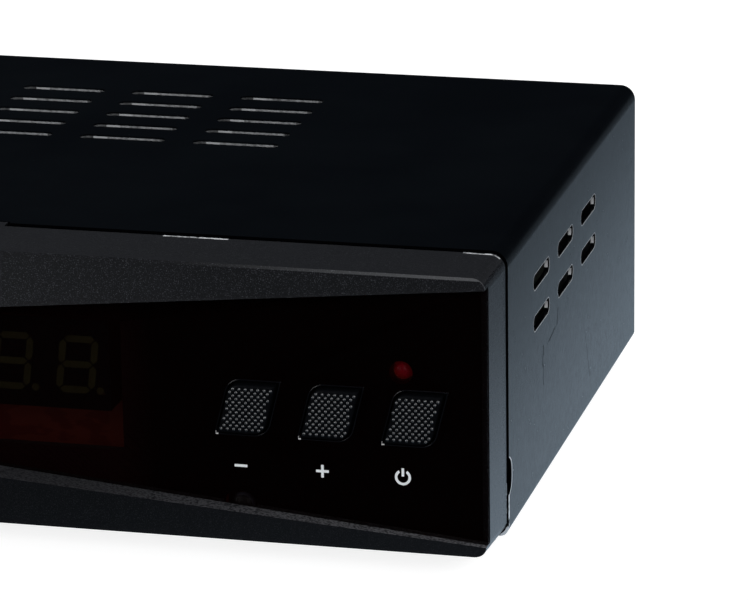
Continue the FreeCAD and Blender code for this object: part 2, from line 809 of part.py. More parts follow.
def make_front_bezel():
    """Front moulding: a drafted box with two leaning ridges that frame the window."""
    body = new_body("front_bezel")
    rear = rounded("-bezel_half", "bezel_half", "bezel_low", "bezel_top", "bezel_corner")
    front = rounded("-face_half", "face_half", "face_low", "face_top", "bezel_corner")
    box = body.newObject("PartDesign::AdditiveLoft", "front_bezel_box")
    box.Profile = new_sketch(body, "XZ", "bezel_back", [rear])
    box.Sections = [new_sketch(body, "XZ", "bezel_face", [front])]
    box.Ruled = True
    middles = {"face_low": "lower_ridge", "face_top": "upper_ridge"}
    for edge, ridge in middles.items():
        inward = "+" if edge == "face_low" else "-"
        corners = [("-face_half", edge), ("face_half", edge), ("face_half", f"{edge} {inward} {ridge}_end"),
                   ("0", f"{edge} {inward} {ridge}_middle"), ("-face_half", f"{edge} {inward} {ridge}_end")]
        pad(body, "XZ", [corners], "bezel_face - ridge_proud", "bezel_face")
    face_mid = "(face_low + face_top) / 2"
    lean_out = f"bezel_face - facet_lean * ({face_mid} - face_low)"
    far = "bezel_face - 2 * ridge_proud"
    pocket(body, "YZ", [
        [("bezel_face", "face_low"), (lean_out, face_mid), (far, face_mid), (far, "face_low - 1"),
         ("bezel_face", "face_low - 1")],
    ], "-half_width", "half_width")
    pocket(body, "YZ", [
        [("bezel_face", "face_top"), ("bezel_face", "face_top + 1"), (far, "face_top + 1"),
         (far, face_mid), (lean_out, face_mid)],
    ], "-half_width", "half_width")
    frame = rectangle("-half_width - 1", "half_width + 1", "case_low - 1", "case_top + 1")
    pocket(body, "XZ", [frame, front], far, "bezel_face")
    inside = rectangle("-bezel_half + bezel_wall", "bezel_half - bezel_wall",
                       "bezel_low + bezel_wall", "bezel_top - bezel_wall")
    pocket(body, "XZ", [inside], "wall_back", "bezel_back + 1")
    pocket(body, "XZ", [bow_tie("half_width + 1", "0")], far, "window_back")
    display_opening = rectangle(
        "display_x - display_width / 2 - display_margin", "display_x + display_width / 2 + display_margin",
        "display_z - display_height / 2 - display_margin * 3",
        "display_z + display_height / 2 + hole_gap")
    caps = [leaf(x, "button_z", "button_gap") for x in button_places().values()]
    pocket(body, "XZ", [display_opening] + caps + eye_and_light_holes(), "window_back - 1", "wall_back + 1")
    for x, z in front_board_holes():
        pad(body, "XZ", [circle(x, z, "boss_radius")], "wall_back - backing_wall / 2", "front_board_face")
    pocket(body, "XZ", [circle(x, z, "screw_radius + screw_gap") for x, z in front_board_holes()],
           "wall_back", "front_board_face + 1")
    for x, z, side in hook_spots():
        low, high = f"{z} - hook_gauge / 2", f"{z} + hook_gauge / 2"
        span = (f"{x} - hook_width / 2", f"{x} + hook_width / 2")
        pad(body, "XZ", [rectangle(*span, low, high)], "bezel_back - bezel_depth / 3",
            "front_wall_in + hook_reach")
        barb = (high, f"{high} + hook_barb") if side > 0 else (f"{low} - hook_barb", low)
        pad(body, "XZ", [rectangle(*span, *barb)], "front_wall_in + hook_gap", "front_wall_in + hook_reach")
    tongue = rectangle("-notch_width / 2 + slip_gap * 3", "notch_width / 2 - slip_gap * 3",
                       "rear_wall_top + slip_gap / 2", "bezel_top")
    pad(body, "XZ", [tongue], "bezel_back", "seam_y + notch_depth - slip_gap")


def make_front_window():
    """Smoked window: a glossy plate let into the moulding between its ridges."""
    body = new_body("front_window")
    pad(body, "XZ", [bow_tie("face_half - window_gap", "window_gap")], "bezel_face", "window_back")
    caps = [leaf(x, "button_z", "button_gap") for x in button_places().values()]
    pocket(body, "XZ", caps, "bezel_face - 1", "window_back + 1")
    round_edges(body, "window_gauge / 2", lambda at, step: along(step, "z")
                and near(abs(at.x), "face_half - window_gap") and near(at.y, "bezel_face"))


def make_buttons():
    """Buttons, each a cap with a lip that holds it behind the wall and a stem on its switch."""
    for name, x in button_places().items():
        body = new_body(f"button_{name}")
        pad(body, "XZ", [leaf(x, "button_z", "0")], "bezel_face - button_proud", "lip_front")
        pad(body, "XZ", [leaf(x, "button_z", "button_lip")], "lip_front", "lip_back")
        pad(body, "XZ", [circle(x, "button_z", "button_stem_radius")], "lip_back", "plunger_tip")
        round_edges(body, "button_edge", lambda at, step: near(at.y, "bezel_face - button_proud"))


def make_switches():
    """Tact switches on the front board, each with its own plunger."""
    for name, x in button_places().items():
        reach = "switch_side / 2"
        housing = block((f"{x} - {reach}", f"{x} + {reach}"), ("switch_face", "front_board_face"),
                        (f"button_z - {reach}", f"button_z + {reach}"))
        well_floor = "switch_face + plunger_root + plunger_travel + plunger_gap"
        well = rod("plunger_radius + plunger_gap", "Y", "switch_face - 1", well_floor, x, "button_z")
        finished(without(housing, well), f"switch_{name}")
        plunger = rod("plunger_radius", "Y", "plunger_tip", "switch_face + plunger_root", x, "button_z")
        finished(plunger, f"plunger_{name}")


# Front board and what shows through the window

def make_front_board():
    """Front circuit board, screwed to the bosses of the moulding."""
    body = new_body("front_board")
    pad(body, "XZ", [rectangle("half_width - front_board_left", "half_width - front_board_right",
                               "case_low + front_board_low",
                               "case_low + front_board_low + front_board_height")],
        "front_board_face", "front_board_back")
    pocket(body, "XZ", [circle(x, z, "screw_radius + screw_gap") for x, z in front_board_holes()],
           "front_board_face - 1", "front_board_back + 1")


def digit_loops():
    """Seven bars and a point of the leftmost digit, leaning to the right."""
    half_w, half_h = "digit_width / 2 - segment_width / 2", "digit_height / 2 - segment_width / 2"
    first_x = "display_x - (digit_count - 1) / 2 * digit_pitch"
    bar = "segment_width / 2"
    loops = []

    def slanted(x, z):
        return (f"{first_x} + ({x}) + digit_slant * ({z})", f"display_z + ({z})")

    for level in (f"-({half_h})", "0", half_h):
        left, right = f"-({half_w}) + segment_gap", f"{half_w} - segment_gap"
        loops.append([slanted(left, level), slanted(f"{left} + {bar}", f"{level} - {bar}"),
                      slanted(f"{right} - {bar}", f"{level} - {bar}"), slanted(right, level),
                      slanted(f"{right} - {bar}", f"{level} + {bar}"),
                      slanted(f"{left} + {bar}", f"{level} + {bar}")])
    for x in (f"-({half_w})", half_w):
        for low, high in ((f"-({half_h})", "0"), ("0", half_h)):
            low, high = f"{low} + segment_gap", f"{high} - segment_gap"
            loops.append([slanted(x, low), slanted(f"{x} + {bar}", f"{low} + {bar}"),
                          slanted(f"{x} + {bar}", f"{high} - {bar}"), slanted(x, high),
                          slanted(f"{x} - {bar}", f"{high} - {bar}"),
                          slanted(f"{x} - {bar}", f"{low} + {bar}")])
    point = slanted(f"{half_w} + segment_width * 1.35", f"-({half_h})")
    loops.append(circle(*point, "point_radius"))
    return loops


def make_display():
    """Numeric display: a dark housing and its light bars, let in flush with its face."""
    body = new_body("display_body")
    pad(body, "XZ", [rectangle("display_x - display_width / 2", "display_x + display_width / 2",
                               "display_z - display_height / 2", "display_z + display_height / 2")],
        "display_face", "front_board_face")
    wells = pocket(body, "XZ", digit_loops(), "display_face", "display_face + segment_depth")
    repeat(body, wells, [("X", "digit_pitch", "digit_count")])
    bars = new_body("display_segments", several=True)
    digit = pad(bars, "XZ", digit_loops(), "display_face", "display_face + segment_depth")
    repeat(bars, digit, [("X", "digit_pitch", "digit_count")])


def leads(x, z, start, pitches):
    """Thin wire leads from the back of a part to the front board."""
    return [rod("lead_radius", "Y", start, "front_board_face", f"{x} + {turn} * lead_pitch", z)
            for turn in pitches]


def make_power_led():
    """Round red light with a domed tip, a rim and two leads."""
    ball = doc.addObject("Part::Sphere", "led_dome")
    ball.setExpression("Radius", formula("led_radius"))
    put(ball, "led_x", "led_tip + led_radius", "led_z")
    stem = rod("led_radius", "Y", "led_tip + led_radius", "led_back", "led_x", "led_z")
    rim = rod("led_radius * 1.25", "Y", "led_back", "led_back + lead_radius * 4", "led_x", "led_z")
    wires = leads("led_x", "led_z", "led_back + lead_radius * 2", (-0.5, 0.5))
    finished(joined(ball, stem, rim, *wires), "power_led")


def make_ir_receiver():
    """Remote-control eye: a small dark block with a dome and three leads."""
    middle = "eye_front + eye_radius"
    ball = doc.addObject("Part::Sphere", "eye_dome")
    ball.setExpression("Radius", formula("eye_radius"))
    put(ball, "eye_x", middle, "eye_z")
    case = block(("eye_x - eye_side / 2", "eye_x + eye_side / 2"), (middle, f"{middle} + eye_depth"),
                 ("eye_z - eye_side / 2", "eye_z + eye_side / 2"))
    wires = leads("eye_x", "eye_z", f"{middle} + eye_depth / 2", (-1, 0, 1))
    trimmed = doc.addObject("Part::Common", "eye_front_half")
    trimmed.Base = ball
    trimmed.Tool = block(("eye_x - eye_side", "eye_x + eye_side"), ("eye_front - 1", f"{middle} + 1"),
                         ("eye_z - eye_side", "eye_z + eye_side"))
    finished(joined(trimmed, case, *wires), "ir_receiver")


# Main board and its sockets

def make_main_board():
    """Main circuit board on four stand-offs."""
    body = new_body("main_board")
    pad(body, "XY", [rectangle("main_board_low_x", "main_board_high_x", "main_board_front", "board_back")],
        "board_low", "board_top")
    pocket(body, "XY", [circle(x, y, "screw_radius + screw_gap") for x, y in main_board_holes()],
           "board_low - 1", "board_top + 1")


def main_board_holes():
    """Corner holes of the main board, kept clear of the sockets at its rear edge."""
    return board_holes("main_board_low_x", "main_board_high_x", "main_board_front",
                       "board_back - tuner_depth", "board_hole_edge")


def make_tuner():
    """Screened tuner with two threaded aerial sockets, held to the rear wall by nuts."""
    can = new_body("tuner_can")
    pad(can, "XY", [rounded("tuner_low_x", "tuner_high_x", "tuner_front", "board_back", "sheet_gauge")],
        "board_top", "board_top + tuner_height")
    nuts = []
    for label, x in (("aerial_socket_in", "socket_x"), ("aerial_socket_loop", "socket_x - socket_pitch")):
        groove = "rear_wall_out + socket_nut_gauge"
        thread = rod("socket_thread_radius", "Y", f"{groove} + socket_groove", "socket_end", x, "socket_z")
        shank = rod("socket_thread_radius", "Y", "board_back", groove, x, "socket_z")
        neck = rod("socket_neck_radius", "Y", "board_back", "socket_end - 1", x, "socket_z")
        collar = rod("socket_collar_radius", "Y", "board_back", "rear_wall_in", x, "socket_z")
        mouth = rod("socket_bore_radius", "Y", "socket_end - socket_recess", "socket_end + 1", x, "socket_z")
        pin_hole = rod("socket_pin_radius", "Y", "socket_end - socket_pin_depth", "socket_end + 1",
                       x, "socket_z")
        finished(without(joined(thread, shank, neck, collar), mouth, pin_hole), label)
        outer = hexagon("socket_nut_radius", "Y", "rear_wall_out", "rear_wall_out + socket_nut_gauge",
                        x, "socket_z")
        inner = rod("socket_thread_radius + socket_nut_gap", "Y", "rear_wall_in", "back_y + socket_nut_gauge",
                    x, "socket_z")
        nuts.append(without(outer, inner))
    group("aerial_socket_nuts", nuts)


def make_jacks():
    """Row of sound and picture jacks: one dark housing and a barrel of its own for each."""
    last = "jack_x - (jack_count - 1) * jack_pitch"
    housing = block((f"{last} - jack_housing_side", "jack_x + jack_housing_side"),
                    ("jack_face", "board_back"), ("board_top", "board_top + jack_housing_height"))
    finished(housing, "jack_housing")
    names = ("jack_picture", "jack_sound_left", "jack_sound_right")
    for turn, label in enumerate(names[:count("jack_count")]):
        x = f"jack_x - {turn} * jack_pitch"
        barrel = rod("jack_radius", "Y", "board_back", "back_y + jack_reach", x, "jack_z")
        collar = rod("jack_collar_radius", "Y", "board_back", "rear_wall_out + jack_collar_gauge",
                     x, "jack_z")
        bore = rod("jack_bore_radius", "Y", "back_y + jack_reach - jack_bore_depth",
                   "back_y + jack_reach + 1", x, "jack_z")
        finished(without(joined(barrel, collar), bore), label)


def make_port(port):
    """Digital socket: a thin metal shell with a tongue inside."""
    outer = block((f"{port}_x - {port}_width / 2", f"{port}_x + {port}_width / 2"),
                  (f"rear_wall_out - {port}_depth", "rear_wall_out + port_shell"),
                  ("board_top", f"board_top + {port}_height"))
    inner = block((f"{port}_x - {port}_width / 2 + port_shell", f"{port}_x + {port}_width / 2 - port_shell"),
                  (f"rear_wall_out - {port}_depth + port_shell * 3", "rear_wall_out + 1"),
                  ("board_top + port_shell", f"board_top + {port}_height - port_shell"))
    middle = f"(board_top + {port}_height / 2)"
    tongue = block((f"{port}_x - {port}_width / 2 + port_tongue",
                    f"{port}_x + {port}_width / 2 - port_tongue"),
                   (f"rear_wall_out - {port}_depth + port_shell", "rear_wall_out - port_shell * 2"),
                   (f"{middle} - port_tongue / 2", f"{middle} + port_tongue / 2"))
    finished(joined(without(outer, inner), tongue), port)


def make_processor():
    """Main chip with a finned cooler bonded to it."""
    half = "chip_side / 2"
    finished(block((f"chip_x - {half}", f"chip_x + {half}"), (f"chip_y - {half}", f"chip_y + {half}"),
                   ("board_top", "sink_low")), "processor")
    body = new_body("heat_sink")
    reach = "sink_side / 2"
    pad(body, "XY", [rectangle(f"chip_x - {reach}", f"chip_x + {reach}", f"chip_y - {reach}",
                               f"chip_y + {reach}")], "sink_low", "sink_low + sink_base")
    fin = pad(body, "XY", [rectangle(f"chip_x - {reach}", f"chip_x - {reach} + sink_fin_gauge",
                                     f"chip_y - {reach}", f"chip_y + {reach}")],
              "sink_low + sink_base / 2", "sink_low + sink_height")
    doc.recompute()
    repeat(body, fin, [("X", "(sink_side - sink_fin_gauge) / (sink_fin_count - 1)", "sink_fin_count")])


def make_main_parts():
    """Memory, capacitors and coils of the main board."""
    memory_x = "chip_x + memory_reach"
    finished(block((f"{memory_x} - memory_width / 2", f"{memory_x} + memory_width / 2"),
                   ("chip_y - memory_depth / 2", "chip_y + memory_depth / 2"),
                   ("board_top", "board_top + memory_height")), "memory_chip")
    flash_x = "chip_x - flash_reach"
    finished(block((f"{flash_x} - flash_side / 2", f"{flash_x} + flash_side / 2"),
                   ("chip_y - flash_side / 2", "chip_y + flash_side / 2"),
                   ("board_top", "board_top + memory_height")), "flash_chip")
    spots = [f"main_board_low_x + {turn + 2} * small_cap_pitch" for turn in range(count("small_cap_count"))]
    level = "main_board_front + small_cap_front"
    group("main_capacitors", [rod("small_cap_radius", "Z", "board_top", "board_top + small_cap_height",
                                  x, level) for x in spots])
    coils = []
    for turn in range(2):
        x = f"(main_board_low_x + ({turn} + 2) * coil_pitch)"
        y = "main_board_front + coil_front"
        coils.append(block((f"{x} - coil_side / 2", f"{x} + coil_side / 2"),
                           (f"{y} - coil_side / 2", f"{y} + coil_side / 2"),
                           ("board_top", "board_top + coil_height")))
    group("main_inductors", coils)


# Power supply

def power_board_holes():
    """Corner holes of the power board; the rear pair stands clear of the inlet."""
    return board_holes("power_board_low_x", "power_board_high_x", "power_board_front",
                       "board_back - inlet_depth - board_hole_edge", "board_hole_edge")


def make_power_board():
    """Power circuit board with the mains inlet at its rear edge."""
    body = new_body("power_board")
    pad(body, "XY", [rectangle("power_board_low_x", "power_board_high_x", "power_board_front", "board_back")],
        "board_low", "board_top")
    pocket(body, "XY", [circle(x, y, "screw_radius + screw_gap") for x, y in power_board_holes()],
           "board_low - 1", "board_top + 1")


def make_mains_inlet():
    """Mains inlet: a block with a round-ended mouth and two pins standing in it."""
    body = new_body("mains_inlet")
    pad(body, "XZ", [rectangle("inlet_x - inlet_width / 2", "inlet_x + inlet_width / 2",
                               "board_top", "board_top + inlet_height")], "inlet_front", "back_y")
    pocket(body, "XZ", [stadium("inlet_x", "inlet_z", "inlet_mouth_width", "inlet_mouth_height")],
           "inlet_floor", "back_y + 1")
    group("mains_pins", [rod("inlet_pin_radius", "Y", "inlet_floor", "inlet_floor + inlet_pin_length",
                             f"inlet_x + {side} * inlet_pin_pitch / 2", "inlet_z") for side in (-1, 1)])


def make_power_parts():
    """Filter, fuse, capacitors and transformer, in the order the current takes."""
    choke_x = "inlet_x + inlet_width / 2 + choke_ring_radius + choke_wire_radius * 2"
    choke = doc.addObject("Part::Torus", "choke")
    choke.Placement = FreeCAD.Placement(FreeCAD.Vector(), TURNS["Y"])
    choke.setExpression("Radius1", formula("choke_ring_radius"))
    choke.setExpression("Radius2", formula("choke_wire_radius"))
    reach = "(choke_ring_radius + choke_wire_radius)"
    choke_y = f"board_back - {reach}"
    put(choke, choke_x, choke_y, f"board_top + {reach}")
    seat = block((f"{choke_x} - choke_ring_radius", f"{choke_x} + choke_ring_radius"),
                 (f"{choke_y} - choke_seat_depth / 2", f"{choke_y} + choke_seat_depth / 2"),
                 ("board_top", "board_top + choke_wire_radius"))
    finished(joined(choke, seat), "line_filter")
    fuse_y = "inlet_front - fuse_radius * 5"
    fuse_z = "board_top + fuse_radius * 1.5"
    fuse_x = "(power_board_low_x + board_hole_edge * 2)"
    glass = rod("fuse_radius", "X", fuse_x, f"{fuse_x} + fuse_length", fuse_y, fuse_z)
    clips = [block((f"{start} - fuse_clip / 2", f"{start} + fuse_clip / 2"),
                   (f"{fuse_y} - fuse_radius * 1.3", f"{fuse_y} + fuse_radius * 1.3"),
                   ("board_top", f"{fuse_z} + fuse_radius"))
             for start in (f"{fuse_x} + fuse_clip / 2", f"{fuse_x} + fuse_length - fuse_clip / 2")]
    finished(joined(glass, *clips), "mains_fuse")
    bulk_x = "power_board_low_x + bulk_cap_radius + board_hole_edge"
    bulk_y = f"{fuse_y} - fuse_radius * 2 - bulk_cap_radius"
    finished(rod("bulk_cap_radius", "Z", "board_top", "board_top + bulk_cap_height", bulk_x, bulk_y),
             "bulk_capacitor")
    core_x = "(power_board_low_x + power_board_high_x) / 2 + core_limb * 3"
    core_y = bulk_y
    outer = block((f"{core_x} - core_width / 2", f"{core_x} + core_width / 2"),
                  (f"{core_y} - core_depth / 2", f"{core_y} + core_depth / 2"),
                  ("board_top", "board_top + core_height"))
    window = block((f"{core_x} - core_width / 2 + core_limb", f"{core_x} + core_width / 2 - core_limb"),
                   (f"{core_y} - core_depth", f"{core_y} + core_depth"),
                   ("board_top + core_limb", "board_top + core_height - core_limb"))
    finished(without(outer, window), "transformer_core")
    body = new_body("transformer_winding")
    pad(body, "XY", [rounded(f"{core_x} - core_width / 2 + core_limb + slip_gap",
                             f"{core_x} + core_width / 2 - core_limb - slip_gap",
                             f"{core_y} - winding_depth / 2", f"{core_y} + winding_depth / 2",
                             "winding_round")],
        "board_top + core_limb + slip_gap / 2", "board_top + core_height - core_limb - slip_gap / 2")
    chip_y = "power_board_front + board_hole_edge * 3"
    finished(block((f"{bulk_x} - switcher_width / 2", f"{bulk_x} + switcher_width / 2"),
                   (f"{chip_y} - switcher_depth / 2", f"{chip_y} + switcher_depth / 2"),
                   ("board_top", "board_top + switcher_height")), "switcher_chip")
    cap_y = "power_board_front + output_cap_radius * 2"
    group("output_capacitors", [
        rod("output_cap_radius", "Z", "board_top", "board_top + output_cap_height",
            f"({bulk_x}) + switcher_width + {turn} * output_cap_pitch", cap_y) for turn in range(2)])
    floor = block(("power_board_low_x", "power_board_high_x"), ("power_board_front", "board_back"),
                  ("floor_top", "floor_top + insulator_gauge"))
    posts = [rod("standoff_radius + slip_gap", "Z", "floor_low", "board_low", x, y)
             for x, y in power_board_holes()]
    finished(without(floor, *posts), "insulation_sheet")


# Wiring between the boards

def point(x, y, z):
    """Place in space from three formulas."""
    return FreeCAD.Vector(number(x), number(y), number(z))


def make_ribbon():
    """Flat cable from the back of the front board to a header on the main board."""
    half = "header_width / 2"
    front = block((f"ribbon_x - {half}", f"ribbon_x + {half}"), ("front_board_back", "front_header_back"),
                  ("ribbon_z - header_depth / 2", "ribbon_z + header_depth / 2"))
    lower = block((f"ribbon_x - {half}", f"ribbon_x + {half}"),
                  ("header_y - header_depth / 2", "header_y + header_depth / 2"), ("board_top", "header_top"))
    group("ribbon_headers", [front, lower])
    start = point("ribbon_x", "front_header_back", "ribbon_z")
    turn = point("ribbon_x", "header_y", "ribbon_z")
    end = point("ribbon_x", "header_y", "header_top")
    bend = number("ribbon_bend")
    before, after = turn - FreeCAD.Vector(0, bend, 0), turn - FreeCAD.Vector(0, 0, bend)
    crown = turn + FreeCAD.Vector(0, -bend, -bend) + FreeCAD.Vector(0, 1, 1).normalize() * bend
    path = Part.Wire([Part.LineSegment(start, before).toShape(), Part.Arc(before, crown, after).toShape(),
                      Part.LineSegment(after, end).toShape()])
    across = FreeCAD.Vector(number("ribbon_width") / 2, 0, 0)
    thick = FreeCAD.Vector(0, 0, number("ribbon_gauge") / 2)
    corners = [start - across - thick, start + across - thick, start + across + thick,
               start - across + thick, start - across - thick]
    swept("front_ribbon", [(path, Part.makePolygon(corners))])


def make_harness():
    """Loose wires from the power board over to the main board, each up, across and down."""
    depth = "header_depth / 2"
    reach = "header_width / 2"
    headers = [block((f"{x} - {depth}", f"{x} + {depth}"), (f"harness_y - {reach}", f"harness_y + {reach}"),
                     ("board_top", "header_top")) for x in ("power_header_x", "main_header_x")]
    group("power_headers", headers)
    bend, radius = number("wire_bend"), number("wire_radius")
    up, right = FreeCAD.Vector(0, 0, 1), FreeCAD.Vector(1, 0, 0)
    sections = []
    for turn in range(count("wire_count")):
        y = f"harness_y + ({turn} - (wire_count - 1) / 2) * wire_pitch"
        start, end = point("power_header_x", y, "header_top"), point("main_header_x", y, "header_top")
        rise, fall = start + up * number("wire_rise"), end + up * number("wire_rise")
        first, last = rise + (up + right) * bend, fall + (up - right) * bend
        shoulder = (right - up).normalize() * bend
        crown_a = rise + right * bend - shoulder
        crown_b = fall - right * bend + (right + up).normalize() * bend
        path = Part.Wire([
            Part.LineSegment(start, rise).toShape(), Part.Arc(rise, crown_a, first).toShape(),
            Part.LineSegment(first, last).toShape(), Part.Arc(last, crown_b, fall).toShape(),
            Part.LineSegment(fall, end).toShape()])
        sections.append((path, Part.Wire([Part.Circle(start, up, radius).toShape()])))
    swept("power_harness", sections)


# Fasteners

def make_board_fasteners():
    """Stand-offs under both boards, and the screws that hold the boards to them."""
    posts, screws = [], []
    for x, y in main_board_holes() + power_board_holes():
        post = hexagon("standoff_radius", "Z", "floor_top", "board_low", x, y)
        hole = rod("screw_radius + screw_gap", "Z", "board_low - screw_length", "board_low + 1", x, y)
        posts.append(without(post, hole))
        shank = rod("screw_radius", "Z", "board_top - screw_length", "board_top", x, y)
        head = rod("screw_head_radius", "Z", "board_top", "board_top + screw_head_height", x, y)
        screws.append(joined(shank, head))
    group("board_standoffs", posts)
    group("board_screws", screws)


def make_case_screws():
    """Screws through the cover's tabs, and those of the front board."""
    level = "case_top - tab_screw_drop"
    screws = []
    for x in ("-tab_spread", "0", "tab_spread"):
        shank = rod("cover_screw_radius", "Y", "back_y - cover_screw_length", "back_y", x, level)
        head = rod("cover_screw_head_radius", "Y", "back_y", "back_y + cover_screw_head_height", x, level)
        screws.append(joined(shank, head))
    group("cover_screws", screws)
    screws = []
    for x, z in front_board_holes():
        shank = rod("screw_radius", "Y", "front_board_back - screw_length", "front_board_back", x, z)
        head = rod("screw_head_radius", "Y", "front_board_back", "front_board_back + screw_head_height",
                   x, z)
        screws.append(joined(shank, head))
    group("front_board_screws", screws)


make_top_cover()
make_chassis_base()
make_feet()
make_front_bezel()
make_front_window()
make_buttons()
make_switches()
make_front_board()
make_display()
make_power_led()
make_ir_receiver()
make_main_board()
make_tuner()
make_jacks()
make_port("picture_port")
make_port("data_port")
make_processor()
make_main_parts()
make_power_board()
make_mains_inlet()
make_power_parts()
make_ribbon()
make_harness()
make_board_fasteners()
make_case_screws()
doc.recompute()

for item in doc.Objects:
    if "Invalid" in item.State or "Error" in item.State:
        raise ValueError(f"{item.Name} failed: {item.State}")
for part in parts:
    if part.Shape.isNull() or not part.Shape.isValid() or not part.Shape.Solids:
        raise ValueError(f"{part.Label} has no valid shape")

os.makedirs("parts", exist_ok=True)
for part in parts:
    part.Shape.exportStep(f"parts/{part.Label}.step")
print(f"{len(parts)} sub-parts written")
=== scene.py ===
import math

import bmesh
import bpy
import numpy as np
from mathutils import Matrix, Vector


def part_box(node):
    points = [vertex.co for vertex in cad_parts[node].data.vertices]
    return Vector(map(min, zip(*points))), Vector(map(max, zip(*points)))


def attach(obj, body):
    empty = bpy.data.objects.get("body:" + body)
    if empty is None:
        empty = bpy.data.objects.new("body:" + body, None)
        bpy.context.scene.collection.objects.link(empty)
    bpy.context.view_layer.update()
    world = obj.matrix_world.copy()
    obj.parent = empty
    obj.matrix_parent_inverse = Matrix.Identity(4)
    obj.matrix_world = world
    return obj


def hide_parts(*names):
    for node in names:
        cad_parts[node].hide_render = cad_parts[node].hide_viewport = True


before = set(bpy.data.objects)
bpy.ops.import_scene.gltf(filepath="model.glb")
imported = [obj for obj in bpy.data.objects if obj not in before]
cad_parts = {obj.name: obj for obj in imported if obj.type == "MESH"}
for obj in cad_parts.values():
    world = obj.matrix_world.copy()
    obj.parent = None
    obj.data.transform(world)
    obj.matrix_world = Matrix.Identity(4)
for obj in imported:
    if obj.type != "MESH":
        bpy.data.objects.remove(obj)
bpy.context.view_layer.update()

# Camera
# A long lens from the front right, a little above the case. It stands at the photograph's angle and
# sees the right-hand part of the receiver.

eye = Vector((0.24605, -0.68285, 0.24169))
aim = Vector((0.084634, -0.04663, 0.03896))
roll = math.radians(-0.841)
back = (eye - aim).normalized()
level = Vector((0, 0, 1)).cross(back).normalized()
upright = back.cross(level)
across = level * math.cos(roll) + upright * math.sin(roll)
above = upright * math.cos(roll) - level * math.sin(roll)
lens = bpy.data.cameras.new("camera")
lens.lens = 218.2
lens.sensor_width = 36.0
lens.clip_start = 0.01
camera = bpy.data.objects.new("camera", lens)
camera.matrix_world = Matrix.Translation(eye) @ Matrix((across, above, back)).transposed().to_4x4()
bpy.context.scene.collection.objects.link(camera)
bpy.context.scene.camera = camera
bpy.context.scene.view_settings.view_transform = "Standard"

# Floor and lamps
# A plain white table under five soft lamps. The table shows white to the eye and keeps the shadow
# under the receiver. In gloss it is bright beside the case, and dark in front of it and far out.


class Wire:
    """One socket of a finish; adding, multiplying or comparing it adds a Math node."""

    def __init__(self, finish, socket):
        self.finish = finish
        self.socket = socket

    def maths(self, operation, *terms):
        return self.finish.node("ShaderNodeMath", {"operation": operation}, dict(enumerate(terms)))

    def __add__(self, other):
        return self.maths("ADD", self, other)

    def __sub__(self, other):
        return self.maths("SUBTRACT", self, other)

    def __rsub__(self, other):
        return self.maths("SUBTRACT", other, self)

    def __mul__(self, other):
        return self.maths("MULTIPLY", self, other)

    def __truediv__(self, other):
        return self.maths("DIVIDE", self, other)

    def __pow__(self, other):
        return self.maths("POWER", self, other)

    def __mod__(self, other):
        return self.maths("FLOORED_MODULO", self, other)

    def __lt__(self, other):
        return self.maths("LESS_THAN", self, other)

    def __gt__(self, other):
        return self.maths("GREATER_THAN", self, other)

    def __abs__(self):
        return self.maths("ABSOLUTE", self)

    def over(self, other):
        """The larger of two values."""
        return self.maths("MAXIMUM", self, other)


